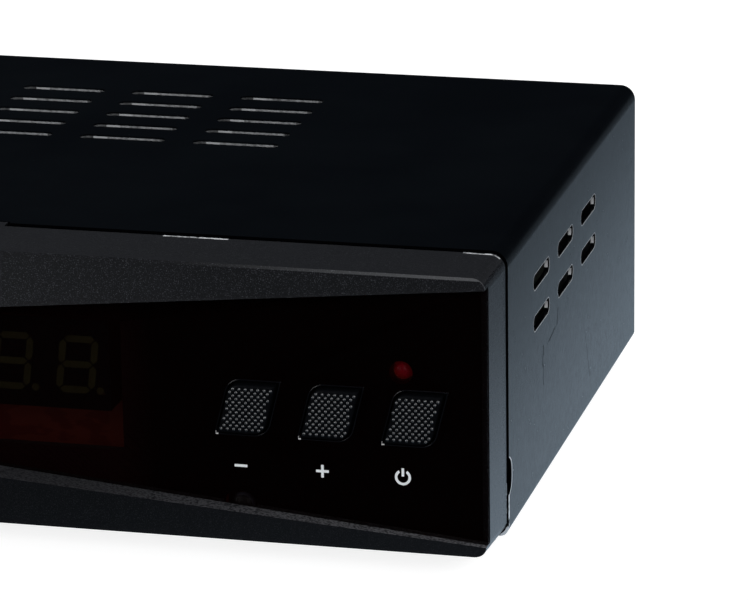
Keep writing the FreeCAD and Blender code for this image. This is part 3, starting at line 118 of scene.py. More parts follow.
class Finish:
    """A procedural material: one Principled shader and the nodes that feed it.

    The slot is the name that the part's own record gives to such a finish.
    """

    def __init__(self, name, colour, roughness, metallic=0.0, slot=None, **constants):
        self.slot = slot
        self.material = bpy.data.materials.new(name)
        self.material.use_nodes = True
        self.tree = self.material.node_tree
        self.shader = self.tree.nodes["Principled BSDF"]
        self.feed(self.shader.inputs["Base Color"], (*colour, 1.0))
        self.feed(self.shader.inputs["Roughness"], roughness)
        self.feed(self.shader.inputs["Metallic"], metallic)
        for word, value in constants.items():
            self.feed(self.shader.inputs[word.replace("_", " ")], value)

    def feed(self, socket, value):
        if isinstance(value, Wire):
            self.tree.links.new(value.socket, socket)
        else:
            socket.default_value = value

    def node(self, kind, settings=None, inputs=None, output=0):
        """Adds one node: its settings or ramp stops first, then values or links by socket."""
        new = self.tree.nodes.new(kind)
        for word, value in (settings or {}).items():
            if word == "stops":
                for place, tone in value:
                    stop = new.color_ramp.elements.new(place)
                    stop.color = (tone, tone, tone, 1.0)
                new.color_ramp.elements.remove(new.color_ramp.elements[0])
                new.color_ramp.elements.remove(new.color_ramp.elements[-1])
            else:
                setattr(new, word, value)
        for place, value in (inputs or {}).items():
            self.feed(new.inputs[place], value)
        return Wire(self, new.outputs[output])

    def at(self, stretch=(1.0, 1.0, 1.0)):
        """Object coordinates, stretched along each axis."""
        spot = self.node("ShaderNodeTexCoord", output=3)
        return self.node("ShaderNodeMapping", inputs={"Vector": spot, "Scale": stretch})

    def axis(self, letter):
        """One object coordinate, in metres."""
        spot = self.node("ShaderNodeTexCoord", output=3)
        return self.node("ShaderNodeSeparateXYZ", inputs={0: spot}, output="XYZ".index(letter))

    def noise(self, scale, detail=2.0, stretch=(1.0, 1.0, 1.0)):
        return self.node("ShaderNodeTexNoise", inputs={
            "Vector": self.at(stretch), "Scale": scale, "Detail": detail})

    def between(self, value, low, high):
        """0 at low, 1 at high, smooth between."""
        return self.node("ShaderNodeMapRange", {"interpolation_type": "SMOOTHSTEP"}, {
            "Value": value, "From Min": low, "From Max": high})

    def tint(self, mask, low, high):
        """Colour that goes from low to high as the mask goes from 0 to 1."""
        tones = [value if isinstance(value, Wire) else (*value, 1.0) for value in (low, high)]
        return self.node("ShaderNodeMix", {"data_type": "RGBA"}, {0: mask, 6: tones[0], 7: tones[1]}, 2)

    def colour(self, wire):
        self.feed(self.shader.inputs["Base Color"], wire)

    def mottled(self, scale, low, high, detail=2.0):
        """Colour that a noise moves between two tones."""
        self.colour(self.tint(self.noise(scale, detail), low, high))

    def roughness(self, wire):
        self.feed(self.shader.inputs["Roughness"], wire)

    def uneven(self, scale, lowest, spread, detail=2.0, stretch=(1.0, 1.0, 1.0)):
        """Roughness that a noise lifts from its lowest value by up to the spread."""
        self.roughness(self.noise(scale, detail, stretch) * spread + lowest)

    def metallic(self, wire):
        self.feed(self.shader.inputs["Metallic"], wire)

    def relief(self, height, depth):
        """Bump of a height between 0 and 1, depth metres deep."""
        self.feed(self.shader.inputs["Normal"], self.node("ShaderNodeBump", inputs={
            "Height": height, "Distance": depth}))

    def facing(self, letter):
        """One part of the surface's own direction, between -1 and 1."""
        out = self.node("ShaderNodeTexCoord", output=1)
        return self.node("ShaderNodeSeparateXYZ", inputs={0: out}, output="XYZ".index(letter))

    def mix(self, mask, first, second):
        """Shader that goes from the first to the second as the mask goes from 0 to 1."""
        return self.node("ShaderNodeMixShader", inputs={0: mask, 1: first, 2: second})

    def show(self, shader):
        self.feed(self.tree.nodes["Material Output"].inputs["Surface"], shader)

    def darken(self, mask):
        """Deep shade, without gloss, where the mask is 1."""
        dull = self.node("ShaderNodeBsdfDiffuse", inputs={"Color": (0.0006, 0.0006, 0.0008, 1.0)})
        self.show(self.mix(mask, Wire(self, self.shader.outputs[0]), dull))

    def on(self, *names):
        """Gives the finish to CAD nodes."""
        for name in names:
            dress(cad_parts[name], self)


def dress(piece, finish):
    """Puts one finish on every material slot of a piece."""
    piece.data.materials.clear()
    piece.data.materials.append(finish.material)
    return piece


table_white = Finish("table_white", (0.62, 0.62, 0.62), 0.9, Specular_IOR_Level=0.0)
table_white.mottled(9.0, (0.40, 0.40, 0.40), (0.44, 0.44, 0.44))
matt = Wire(table_white, table_white.shader.outputs[0])
straight = table_white.node("ShaderNodeLightPath", output="Is Camera Ray")
mirrored = table_white.node("ShaderNodeLightPath", output="Is Glossy Ray").over(
    table_white.node("ShaderNodeLightPath", output="Is Transmission Ray"))
# Painted light: in reflections the table glows as a pool beside the case, dimmed in front of the case and far
# out to its right.
beside = table_white.between(table_white.axis("X"), -0.05, 0.12)
far = table_white.between(table_white.axis("X"), 0.104, 0.150)
before = table_white.between(table_white.axis("Y"), -0.050, -0.075)
pool = (beside * 0.88 + 0.12) * (1 - far * 0.85) * (1 - before * 0.9)
sheen = table_white.node("ShaderNodeEmission", inputs={
    "Color": table_white.tint(pool, (0.0, 0.0, 0.0), (0.66, 0.83, 1.0)), "Strength": 0.88})
glow = table_white.node("ShaderNodeEmission", inputs={"Strength": 0.84})
lit = table_white.node("ShaderNodeAddShader", inputs={0: glow, 1: matt})
table_white.show(table_white.mix(straight, table_white.mix(mirrored, matt, sheen), lit))

table_half = 3.0
table_gap = 0.0002
table_corners = np.array([(-1, -1, 0), (1, -1, 0), (1, 1, 0), (-1, 1, 0)]) * table_half
table_mesh = bpy.data.meshes.new("table")
table_mesh.from_pydata(table_corners.tolist(), [], [(0, 1, 2, 3)])
table = bpy.data.objects.new("table", table_mesh)
table.location = (0, 0, -table_gap)
bpy.context.scene.collection.objects.link(table)
dress(table, table_white)


def lamp(name, direction, watts, width, distance=1.3):
    """Square soft lamp that faces the middle of the receiver."""
    light = bpy.data.lights.new(name, "AREA")
    light.energy = watts
    light.size = width
    spot = Vector(direction).normalized() * distance
    holder = bpy.data.objects.new(name, light)
    holder.matrix_world = Matrix.Translation(spot) @ spot.to_track_quat("Z", "Y").to_matrix().to_4x4()
    bpy.context.scene.collection.objects.link(holder)


lamp("lamp_right", (0.80, -0.60, 0.45), 14.0, 1.5)
lamp("lamp_left", (-0.60, -0.75, 0.35), 6.5, 0.6)
lamp("lamp_over", (0.05, -0.10, 1.0), 2.0, 0.6)
lamp("lamp_back_left", (-0.80, 0.60, 0.55), 6.0, 0.5)
lamp("lamp_back_right", (0.90, 0.35, 0.55), 4.0, 0.5)
sky = bpy.data.worlds.new("sky")
sky.use_nodes = True
sky.node_tree.nodes["Background"].inputs["Color"].default_value = (0.010, 0.013, 0.018, 1.0)
bpy.context.scene.world = sky

# Base of the case
# Floor, front wall and rear wall of one folded sheet of galvanised steel. The boards stand on it
# and the cover is screwed to it. Its low front fold is painted nearly black, as shade under the seam.


def span(node, letter):
    """Lowest and highest place of a node along one axis."""
    return [corner["XYZ".index(letter)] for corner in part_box(node)]


def middle(node):
    """Middle of a node's box."""
    return [(low + high) / 2 for low, high in zip(*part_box(node))]


base_steel = Finish("base_steel", (0.5, 0.51, 0.52), 0.4, 1.0)
spangle = base_steel.node("ShaderNodeTexVoronoi", {"feature": "F1"}, {
    "Vector": base_steel.at(), "Scale": 260.0}, 1)
grey = base_steel.node("ShaderNodeRGBToBW", inputs={0: spangle})
fold_depth, fold_height = 0.00153, 0.0059
# Painted shade: the low front fold is turned nearly black, broken up by a noise.
fold_shade = base_steel.axis("Y") < span("chassis_base", "Y")[0] + fold_depth
fold_shade = fold_shade * (base_steel.axis("Z") < span("chassis_base", "Z")[0] + fold_height)
fold_shade = fold_shade * base_steel.between(base_steel.noise(900.0), 0.60, 0.50)
base_steel.colour(base_steel.tint(grey, (0.46, 0.47, 0.48), (0.56, 0.57, 0.58)))
base_steel.darken(fold_shade)
base_steel.roughness(grey * 0.10 + 0.34)
base_steel.relief(base_steel.noise(900.0), 0.00002)
base_steel.on("chassis_base")

# Cover
# Top and sides of one sheet of steel in satin black baked paint, slid on and screwed at the rear.
# The cut edges and the walls of the punched slots are partly bare. A painted glint lies on the far
# end wall of each side slot and at the left end of each top slot's bare line, and the rest of the
# side slots' walls is painted shade. The seam with the moulding is a black line of painted shade.
# Its front edge is dented low on each side; the dent is painted as a wider crescent of that shade
# with a bright line round it. The right side is a little scratched.

paint = Finish("cover_paint", (0.002, 0.0024, 0.003), 0.3, Specular_IOR_Level=0.08)
x, y, z = (paint.axis(letter) for letter in "XYZ")
seam_y = span("top_cover", "Y")[0]
half_width = span("top_cover", "X")[1]
case_low, case_top = span("top_cover", "Z")
from_seam = y - seam_y
slot_width = 0.0025


def slot_reach(along, over, length):
    """Distance to a slot with round ends: that to its middle line, less half its width."""
    past = (abs(along) - (length - slot_width) / 2).over(0.0)
    return ((past * past + over * over) ** 0.5) - slot_width / 2


def band(value, low, high):
    """1 between two values, else 0."""
    return (value > low) * (value < high)


def scratch(behind, above, tall, lean):
    """Thin wavering scratch up the side: a noise moves its line to and fro.

    It starts so far behind the seam and above the ground, and leans back by its lean.
    """
    wander = paint.noise(500.0, 1.0) * 0.0016 - 0.0008
    half = 0.00026 + 0.00016 * abs(lean)
    line = abs(from_seam - behind - (z - above) * lean - wander) < half
    return line * band(z, above, above + tall)


top_pitch_x, top_pitch_y = 0.0193, 0.00726
top_start_y, top_middle_y = 0.04887, 0.06702
top_half_x, top_half_y = 0.0565, 0.0165
top_x = (x % top_pitch_x) - top_pitch_x / 2
top_y = ((from_seam - top_start_y) % top_pitch_y) - top_pitch_y / 2
top_slot = band(slot_reach(top_x, top_y, 0.0146), -1.0, 0.00004)
top_slot = top_slot * band(z, case_top - 0.00062, case_top - 0.0003)
top_slot = top_slot * (abs(x) < top_half_x) * (abs(from_seam - top_middle_y) < top_half_y)
burr = paint.between(paint.noise(1500.0), 0.15, 0.75)
# Painted glint: the bare line in each top slot is brighter towards its left end.
slot_end_glint = band(top_x, -0.0054, -0.0030)
top_slot = top_slot * band(top_x, -0.0054, 0.0060).over(0.30) * (burr * 0.45 + 0.1).over(slot_end_glint * 0.8)

side_pitch_y, side_pitch_z = 0.0183, 0.00665
side_start_y, side_start_z = 0.01605, 0.026875
side_middle_y, side_middle_z = 0.0435, 0.033525
side_half_y, side_half_z = 0.0255, 0.0066
side_y = ((from_seam - side_start_y) % side_pitch_y) - side_pitch_y / 2
side_z = ((z - side_start_z) % side_pitch_z) - side_pitch_z / 2
side_slot = slot_reach(side_y, side_z, 0.012)
near_slots = (abs(from_seam - side_middle_y) < side_half_y) * (abs(z - side_middle_z) < side_half_z)
side_rim = band(side_slot, -0.00004, 0.00013) * near_slots * (abs(x) > half_width - 0.00007)
# Painted glint and shade in the side slots: a glint on each slot's far end wall near mid-height, in
# bare-metal colour; the rest of the walls is darkened below.
side_wall = band(side_slot, -1.0, 0.00004) * near_slots * (abs(x) < half_width - 0.00015)
glint = (side_y > 0.0044) * band(side_z, -0.0007, 0.0004) * (abs(x) < half_width - 0.0003)

seam_width, bright_width = 0.0010, 0.0004
dent_middle, dent_half, dent_deep = 0.0118, 0.0031, 0.0019
low_edge_bottom, low_edge_top = 0.0036, 0.0089
hem_bend, hem_shine = 0.0017, 0.00025
bulge = (z - dent_middle) / dent_half
dent = (1 - (bulge * bulge) ** 1.6).over(0.0) * dent_deep
dent_rim = band(from_seam - dent, seam_width, seam_width + bright_width) * (dent > 0.00001)
hem_x = (abs(x) - (half_width - hem_bend)).over(0.0)
hem_z = (case_low + hem_bend - z).over(0.0)
hem_line = ((hem_x * hem_x + hem_z * hem_z) ** 0.5 > hem_bend - hem_shine) * (from_seam < 0.0006)
hem_line = hem_line * (z < case_low + hem_bend) * (abs(x) > half_width - 0.0025)
low_edge = band(from_seam, 0.0006, 0.0013) * band(z, low_edge_bottom, low_edge_top)
low_edge = low_edge.over(hem_line) * paint.between(paint.noise(1100.0), 0.32, 0.55)
# Painted shade: a black band along the seam with the moulding, widening into a crescent where the edge is
# dented.
seam_shade = (from_seam < dent + seam_width) * (1 - low_edge)

marks = scratch(0.03673, 0.0250, 0.0026, 0.3).over(scratch(0.03013, 0.0241, 0.0010, 5.5))
marks = marks.over(scratch(0.02623, 0.0183, 0.0065, 0.0)).over(scratch(0.06323, 0.0081, 0.0079, -0.5) * 0.4)
marks = marks * (x > half_width - 0.0001)

# Bare metal at the slots' cut edges, the low cut edge and the dent's rim, together with the painted glints of
# the slots.
bare_and_glints = top_slot.over(side_rim * 0.35).over(side_wall * glint).over(low_edge * 0.8).over(dent_rim * 0.7)
haze = paint.between(paint.noise(35.0, 3.0, (1.0, 1.0, 0.3)), 0.35, 0.75)
skin = paint.tint(haze, (0.0011, 0.0015, 0.0022), (0.0022, 0.0029, 0.0038))
paint.colour(paint.tint(bare_and_glints, skin, (0.85, 0.87, 0.90)))
paint.uneven(900.0, 0.20, 0.10, 3.0)
paint.metallic(bare_and_glints * 0.45)
# Darkened without gloss: the seam and the dent as painted shade, the scratches at half strength, and the side
# slots' walls outside their glints as painted shade.
paint.darken(seam_shade.over(marks * 0.5).over(side_wall * (1 - glint) * 0.6))
paint.relief(paint.noise(1500.0, 1.0), 0.000012)
paint.on("top_cover")

# Rubber feet
# Four soft black feet, moulded in rubber and glued under the floor.

foot_rubber = Finish("foot_rubber", (0.02, 0.02, 0.02), 0.75, Specular_IOR_Level=0.3)
foot_rubber.uneven(300.0, 0.65, 0.2)
foot_rubber.relief(foot_rubber.noise(2200.0), 0.00003)
foot_rubber.on("foot_front_left", "foot_front_right", "foot_rear_left", "foot_rear_right")

# Front moulding
# Charcoal plastic with a fine metallic grain, moulded in one piece. Two leaning ridges frame the
# window, and snap hooks hold it to the base. Its grain is painted fainter on faces that look down,
# as shade, and its upward faces are painted lighter, as light from above. Parts of its top edges
# carry a painted highlight.

bezel_plastic = Finish("bezel_plastic", (0.006, 0.0065, 0.008), 0.45, Specular_IOR_Level=0.03,
                       Coat_Weight=0.34, Coat_Roughness=0.22)
x, y, z = (bezel_plastic.axis(letter) for letter in "XYZ")
upward, sideways = bezel_plastic.facing("Z"), bezel_plastic.facing("X")
face_y = span("front_window", "Y")[0]
flake = bezel_plastic.between(bezel_plastic.noise(6500.0, 1.0), 0.56, 0.76)
# Painted shade: the flakes fade to about half on faces that look down.
flake = flake * bezel_plastic.between(upward, -0.5, 0.0).over(0.55)
cloud = bezel_plastic.noise(120.0)
grain = bezel_plastic.tint(cloud, (0.0045, 0.005, 0.006), (0.0065, 0.007, 0.0085))
grain = bezel_plastic.tint(flake, grain, (0.050, 0.052, 0.060))
# Painted light: upward faces high on the moulding are a little lighter, as lit from above.
top_light = (upward > 0.6) * (z > 0.03) * 0.15
grain = bezel_plastic.tint(top_light, grain, (0.060, 0.062, 0.068))

wall = band(y, face_y + 0.0013, face_y + 0.0040) * (abs(x) < half_width - 0.0015) * band(z, 0.0045, 0.0452)
wall_red = bezel_plastic.tint(bezel_plastic.between(abs(x), 0.054, 0.046),
                              (0.0008, 0.0004, 0.0004), (0.016, 0.003, 0.004))
grain = bezel_plastic.tint(wall, grain, wall_red)
# Painted light: the upward ledge of the lower ridge is lighter in speckles, as lit from above, more so
# towards the ends.
lip_light = (upward > 0.6) * (z < 0.0200) * bezel_plastic.between(bezel_plastic.noise(2600.0), 0.34, 0.62)
lip_light = lip_light * (bezel_plastic.between(abs(x), 0.030, 0.104) * 0.75 + 0.25)
grain = bezel_plastic.tint(lip_light, grain, (0.13, 0.13, 0.14))

# Painted highlights: a broken bright line along two stretches of the top rear edge, and a faint one along the
# front top edge.
rim_glint_noise = bezel_plastic.between(bezel_plastic.noise(900.0), 0.30, 0.60)
rear_rim_glint = band(y, seam_y - 0.0009, seam_y + 0.0001) * (z > case_top - 0.0020) * rim_glint_noise
rear_rim_glint = rear_rim_glint * band(x, 0.0517, 0.0620).over(band(x, 0.0985, 0.1042))
front_rim_glint = band(y, face_y - 0.00022, face_y) * (z > 0.0430) * bezel_plastic.between(abs(x), 0.050, 0.110)
bezel_plastic.colour(bezel_plastic.tint(rear_rim_glint.over(front_rim_glint * 0.10), grain, (0.75, 0.77, 0.80)))
coat = bezel_plastic.between(sideways, 0.5, 0.9) * 0.30
coat = coat + bezel_plastic.between(upward, -0.44, -0.20) * 0.285 + 0.035
bezel_plastic.feed(bezel_plastic.shader.inputs["Coat Weight"], coat)
bezel_plastic.uneven(1800.0, 0.36, 0.2)
bezel_plastic.relief(bezel_plastic.noise(2600.0), 0.00003)
bezel_plastic.on("front_bezel")

# Window
# Polished acrylic, smoked dark red, cut to the outline between the ridges and let into the
# moulding.

window_smoke = Finish("window_smoke", (0.0016, 0.0005, 0.0006), 0.09, Specular_IOR_Level=0.003, Alpha=0.5)
window_smoke.mottled(25.0, (0.0012, 0.0003, 0.0003), (0.0022, 0.0006, 0.0005))
window_smoke.uneven(60.0, 0.06, 0.05)
window_smoke.on("front_window")

# Button holes
# Each button comes through a leaf-shaped hole. The hole has a thin rolled rim of glossy black
# plastic, with a painted highlight at its lower left corner.

keys = ("channel_down", "channel_up", "power")
button_x = {key: middle(f"button_{key}")[0] for key in keys}
button_z = middle("button_power")[2]
button_pitch = button_x["channel_up"] - button_x["channel_down"]
leaf_half_width, leaf_half_height, leaf_radius, leaf_slant = 0.00355, 0.0039, 0.002, 0.26


def leaf(grow, count=40):
    """Leaf outline: a leaning four-sided shape whose top-left and bottom-right corners are arcs."""
    stretch = math.sqrt(1 + leaf_slant * leaf_slant)
    half_w, half_h, radius = leaf_half_width + grow * stretch, leaf_half_height + grow, leaf_radius + grow
    lift = half_h - radius
    arc_x = half_w - leaf_slant * lift - radius * stretch
    turn = np.linspace(-math.pi / 2, -math.atan(leaf_slant), count)
    arc = np.stack([arc_x + radius * np.cos(turn), -lift + radius * np.sin(turn)], axis=1)
    corner = np.array([[half_w + leaf_slant * half_h, half_h]])
    side = np.linspace(arc[-1], corner[0], count)[1:-1]
    top = np.linspace(corner[0], -arc[0], count)[1:-1]
    half = np.concatenate([arc, side, corner, top])
    return np.concatenate([half, -half])


def settle(name, mesh, finish, sharp):
    """Welds a mesh, turns its faces outwards, smooths it and adds it to the scene."""
    work = bmesh.new()
    work.from_mesh(mesh)
    bmesh.ops.remove_doubles(work, verts=work.verts, dist=1e-7)
    bmesh.ops.recalc_face_normals(work, faces=work.faces)
    work.to_mesh(mesh)
    work.free()
    mesh.shade_smooth()
    mesh.set_sharp_from_angle(angle=math.radians(sharp))
    piece = bpy.data.objects.new(name, mesh)
    bpy.context.scene.collection.objects.link(piece)
    return dress(piece, finish)


def loft(name, rings, finish, caps=False, sharp=40):
    """Skin over closed rings of points: each point is joined to its neighbours in its ring and the next.

    An array with one more axis in front holds several such skins, which make one piece.
    """
    count, size = rings.shape[-3:-1]
    index = np.arange(rings.size // 3).reshape(-1, count, size)
    after = np.roll(index, -1, axis=2)
    quads = np.stack([index[:, :-1], after[:, :-1], after[:, 1:], index[:, 1:]], axis=-1).reshape(-1, 4)
    faces = quads.tolist()
    if caps:
        faces += index[:, 0, ::-1].tolist() + index[:, -1].tolist()
    mesh = bpy.data.meshes.new(name)
    mesh.from_pydata(rings.reshape(-1, 3).tolist(), [], faces)
    return settle(name, mesh, finish, sharp)


def rolled_rim(name, x_mid, grow, thick, finish):
    """Ring of round section carried round a leaf: the section's angle moves it out and forward."""
    rings = []
    for step in np.linspace(0, 2 * math.pi, 12, endpoint=False):
        outline = leaf(grow + thick * math.cos(step))
        depth = np.full((len(outline), 1), face_y - thick * 0.35 + thick * math.sin(step))
        rings.append(np.concatenate([outline[:, :1] + x_mid, depth, outline[:, 1:] + button_z], axis=1))
    rings.append(rings[0])
    return loft(name, np.array(rings), finish)


rim_clearance, rim_thick = 0.00035, 0.00012
rim_black = Finish("rim_black", (0.002, 0.002, 0.003), 0.15, slot="bezel_plastic", Specular_IOR_Level=0.3)
rim_black.uneven(700.0, 0.1, 0.08)
corner_x = button_x["channel_down"] - 0.00505
# Painted highlight: a bright spot on each rim at its lower left corner.
corner_glint = ((rim_black.axis("X") - corner_x) % button_pitch) < 0.00042
corner_glint = corner_glint * (rim_black.axis("Z") < button_z - leaf_half_height)
rim_black.colour(rim_black.tint(corner_glint, (0.002, 0.002, 0.003), (0.6, 0.6, 0.6)))
for key in keys:
    rim = rolled_rim(f"window_rim_{key}", button_x[key], rim_clearance + rim_thick, rim_thick, rim_black)
    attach(rim, "root")

# Buttons
# Three moulded charcoal push buttons, one before each switch. Each face is covered with small
# glossy beads in a staggered grid, which move with it.

cap_plastic = Finish("cap_plastic", (0.002, 0.0022, 0.003), 0.42, Specular_IOR_Level=0.04)
cap_plastic.mottled(900.0, (0.0012, 0.0015, 0.0022), (0.0028, 0.0032, 0.0042))
cap_plastic.uneven(2600.0, 0.34, 0.15)
cap_plastic.on("button_channel_down", "button_channel_up", "button_power")
bead_gloss = Finish("bead_gloss", (0.02, 0.022, 0.025), 0.25, slot="button_plastic",
                    Specular_IOR_Level=1.0, Coat_Weight=0.55, Coat_Roughness=0.12)
bead_gloss.mottled(2400.0, (0.006, 0.007, 0.009), (0.022, 0.025, 0.029))
bead_gloss.uneven(3000.0, 0.16, 0.12)


def beads(name, x_mid, size=0.00031, pitch=0.00098, row_pitch=0.00053, edge=0.00030):
    """Domes over a leaf: height = size * cos(angle), radius = size * sin(angle), at staggered centres."""
    rows, columns = np.meshgrid(np.arange(-9, 10), np.arange(-7, 8), indexing="ij")
    centres = np.stack([columns * pitch + (rows % 2) * pitch / 2, rows * row_pitch], axis=-1).reshape(-1, 2)
    outline = leaf(-edge)
    steps = np.roll(outline, -1, axis=0) - outline
    past = centres - outline[:, None]
    inner = steps[:, :1] * past[..., 1] > steps[:, 1:] * past[..., 0]
    centres = centres[(inner | (np.hypot(*steps.T) < 1e-9)[:, None]).all(axis=0)]
    tilt = np.array([0.0, 0.5, 1.0, 1.45])[:, None]
    turn = np.linspace(0, 2 * math.pi, 8, endpoint=False)
    rings = np.stack(np.broadcast_arrays(size * np.sin(tilt) * np.cos(turn), -size * np.cos(tilt),
                                         size * np.sin(tilt) * np.sin(turn)), axis=-1)
    places = np.stack([centres[:, 0] + x_mid, np.full(len(centres), cap_y + size * 0.25),
                       centres[:, 1] + button_z], axis=1)
    return loft(name, rings + places[:, None, None, :], bead_gloss, caps=True, sharp=60)


cap_y = span("button_power", "Y")[0]
for key in keys:
    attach(beads(f"button_grain_{key}", button_x[key]), f"{key}_key")

# Printed signs
# White ink, screen-printed on the window under each button: minus, plus, and a broken ring with
# a bar for standby.

white_ink = Finish("white_ink", (0.80, 0.84, 0.86), 0.5, Specular_IOR_Level=0.2)
white_ink.mottled(3000.0, (0.76, 0.80, 0.82), (0.84, 0.88, 0.90))
sign_z = case_low + 0.0128
stroke = 0.0004


def print_sign(name, outline, in_from_side, z_mid, thick=0.00004):
    """Flat sign: a closed outline given twice, just inside the window's face and just in front of it."""
    front = np.stack([outline[:, 0] + half_width - in_from_side, np.full(len(outline), face_y - thick),
                      outline[:, 1] + z_mid], axis=1)
    behind = front + np.array([0.0, thick * 1.5, 0.0])
    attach(loft(name, np.array([behind, front]), white_ink, caps=True), "root")


def rectangle(width, height):
    """Corners of an upright rectangle about its middle."""
    return np.array([(-width, -height), (width, -height), (width, height), (-width, height)]) / 2


def broken_ring(radius, opening):
    """Arc band that is open at the top: outer points one way, inner points back."""
    turn = np.linspace(math.pi / 2 + opening, math.pi * 2.5 - opening, 40)
    ring = np.stack([np.cos(turn), np.sin(turn)], axis=1)
    return np.concatenate([ring * (radius + stroke / 2), ring[::-1] * (radius - stroke / 2)])


cross = np.array([(-1, -5), (1, -5), (1, -1), (5, -1), (5, 1), (1, 1), (1, 5), (-1, 5), (-1, 1), (-5, 1),
                  (-5, -1), (-1, -1)]) * stroke / 2
print_sign("sign_minus", rectangle(0.0020, stroke), 0.03859, sign_z)
print_sign("sign_plus", cross, 0.02586, sign_z)
print_sign("sign_power_ring", broken_ring(0.00105, 0.55), 0.0134, sign_z - 0.0001)
print_sign("sign_power_bar", rectangle(stroke, 0.0013), 0.0134, sign_z + 0.0007)

# Front board
# Single-sided brown laminate with a dark red lacquer, screwed to the bosses of the moulding. Its
# front face has a very faint glow, so that it shows through the smoked window.

front_laminate = Finish("front_laminate", (0.10, 0.012, 0.016), 0.35, Emission_Strength=0.009)
glow_side = front_laminate.facing("Y") < -0.5
glow_red = front_laminate.tint(glow_side, (0.0, 0.0, 0.0), (1.0, 0.14, 0.08))
front_laminate.feed(front_laminate.shader.inputs["Emission Color"], glow_red)
track = front_laminate.between(front_laminate.noise(140.0, 2.0, (1.0, 1.0, 2.2)), 0.47, 0.50)
front_laminate.colour(front_laminate.tint(track, (0.13, 0.012, 0.012), (0.21, 0.026, 0.014)))
front_laminate.roughness(track * 0.15 + 0.3)
front_laminate.on("front_board")

# Display
# Dark moulded housing, soldered to the front board, with four slanted figures of light bars. They
# are unlit and level with its face.

display_black = Finish("display_black", (0.004, 0.004, 0.005), 0.5, Specular_IOR_Level=0.1)
display_black.uneven(800.0, 0.4, 0.2)
display_black.on("display_body")
display_bars = Finish("display_bars", (0.13, 0.12, 0.05), 0.5)
display_bars.mottled(700.0, (0.040, 0.037, 0.008), (0.085, 0.075, 0.017))
display_bars.uneven(900.0, 0.4, 0.2)
display_bars.on("display_segments")

# Red light
# Round lamp of tinted epoxy, soldered to the front board behind the window. Its dome is painted
# darker towards the lower left, as shading, and a painted highlight lies along its lower left edge.

led_red = Finish("led_red", (0.7, 0.01, 0.02), 0.35, Emission_Color=(0.5, 0.004, 0.012, 1.0),
                 Emission_Strength=0.10)


def from_middle(finish, node):
    """Places round a node's middle: x + z, and the distance, which is the root of x^2 + z^2."""
    x_mid, _, z_mid = middle(node)
    beside, over = finish.axis("X") - x_mid, finish.axis("Z") - z_mid
    return beside + over, (beside * beside + over * over) ** 0.5


slope, reach = from_middle(led_red, "power_led")
# Painted shading and highlight: the dome runs from darker red at the lower left to lighter at the upper
# right, with a bright crescent at its lower left edge.
crescent_highlight = led_red.between(reach, 0.0009, 0.0014) * led_red.between(slope, 0.0, -0.0012)
dome_shaded_red = led_red.tint(led_red.between(slope, -0.0014, 0.0010), (0.50, 0.010, 0.004), (0.75, 0.004, 0.035))
led_red.colour(led_red.tint(crescent_highlight, dome_shaded_red, (0.8, 0.25, 0.18)))
led_red.on("power_led")

# Remote-control eye
# Dark epoxy block with a dome, soldered to the front board, low behind the window. A painted
# highlight lies along the upper right edge of the dome.

eye_epoxy = Finish("eye_epoxy", (0.01, 0.008, 0.012), 0.3, Specular_IOR_Level=0.6)
slope, reach = from_middle(eye_epoxy, "ir_receiver")
# Painted highlight: a light arc along the upper right edge of the dome.
arc = band(reach, 0.0016, 0.0020) * eye_epoxy.between(slope, 0.0, 0.0016)
eye_epoxy.colour(eye_epoxy.tint(arc, (0.004, 0.003, 0.005), (0.10, 0.10, 0.14)))
eye_epoxy.uneven(500.0, 0.40, 0.1)
eye_epoxy.on("ir_receiver")

# Switches
# Black tact switches with bright metal plates on their faces and pale plungers, soldered to the
# front board behind the buttons.

switch_black = Finish("switch_black", (0.015, 0.015, 0.015), 0.5)
switch_black.uneven(900.0, 0.4, 0.2)
face_plate = switch_black.between(switch_black.facing("Y"), -0.8, -0.95)
switch_black.colour(switch_black.tint(face_plate, (0.015, 0.015, 0.015), (0.62, 0.62, 0.60)))
switch_black.metallic(face_plate)
switch_black.on("switch_channel_down", "switch_channel_up", "switch_power")
plunger_cream = Finish("plunger_cream", (0.55, 0.50, 0.40), 0.45)
plunger_cream.uneven(900.0, 0.35, 0.2)
plunger_cream.on("plunger_channel_down", "plunger_channel_up", "plunger_power")

# Boards
# The main board has green lacquer over copper tracks, with soldered joints. The power board is bare
# brown laminate. Both are screwed to posts on the floor.

main_laminate = Finish("main_laminate", (0.02, 0.17, 0.07), 0.35)
track = main_laminate.between(abs(main_laminate.noise(330.0, 1.0) - 0.5), 0.030, 0.018)
joint = main_laminate.node("ShaderNodeTexVoronoi", {"feature": "F1"}, {
    "Vector": main_laminate.at((1.0, 1.0, 0.0)), "Scale": 330.0})
solder = main_laminate.between(joint, 0.22, 0.18)
lacquer = main_laminate.tint(track, (0.008, 0.085, 0.030), (0.018, 0.16, 0.055))
main_laminate.colour(main_laminate.tint(solder, lacquer, (0.45, 0.46, 0.45)))
main_laminate.roughness(track * 0.1 + 0.28)
main_laminate.relief(track.over(solder), 0.00003)
main_laminate.on("main_board")
power_laminate = Finish("power_laminate", (0.40, 0.26, 0.09), 0.5)
power_laminate.mottled(350.0, (0.32, 0.19, 0.06), (0.46, 0.30, 0.11), 3.0)
power_laminate.on("power_board")

# Tuner and aerial sockets
# Tinned can with two nickel-plated threaded sockets, each drawn to the rear wall by a hexagonal
# nut. A white core with a hole for the aerial's wire fills the mouth of each socket.

tin_plate = Finish("tin_plate", (0.66, 0.66, 0.64), 0.3, 1.0)
tin_plate.uneven(90.0, 0.32, 0.2, 3.0)
tin_plate.on("tuner_can")
nickel = Finish("nickel", (0.66, 0.64, 0.60), 0.24, 1.0, "socket_nickel")
nickel.uneven(500.0, 0.18, 0.12)
nickel.on("aerial_socket_nuts")


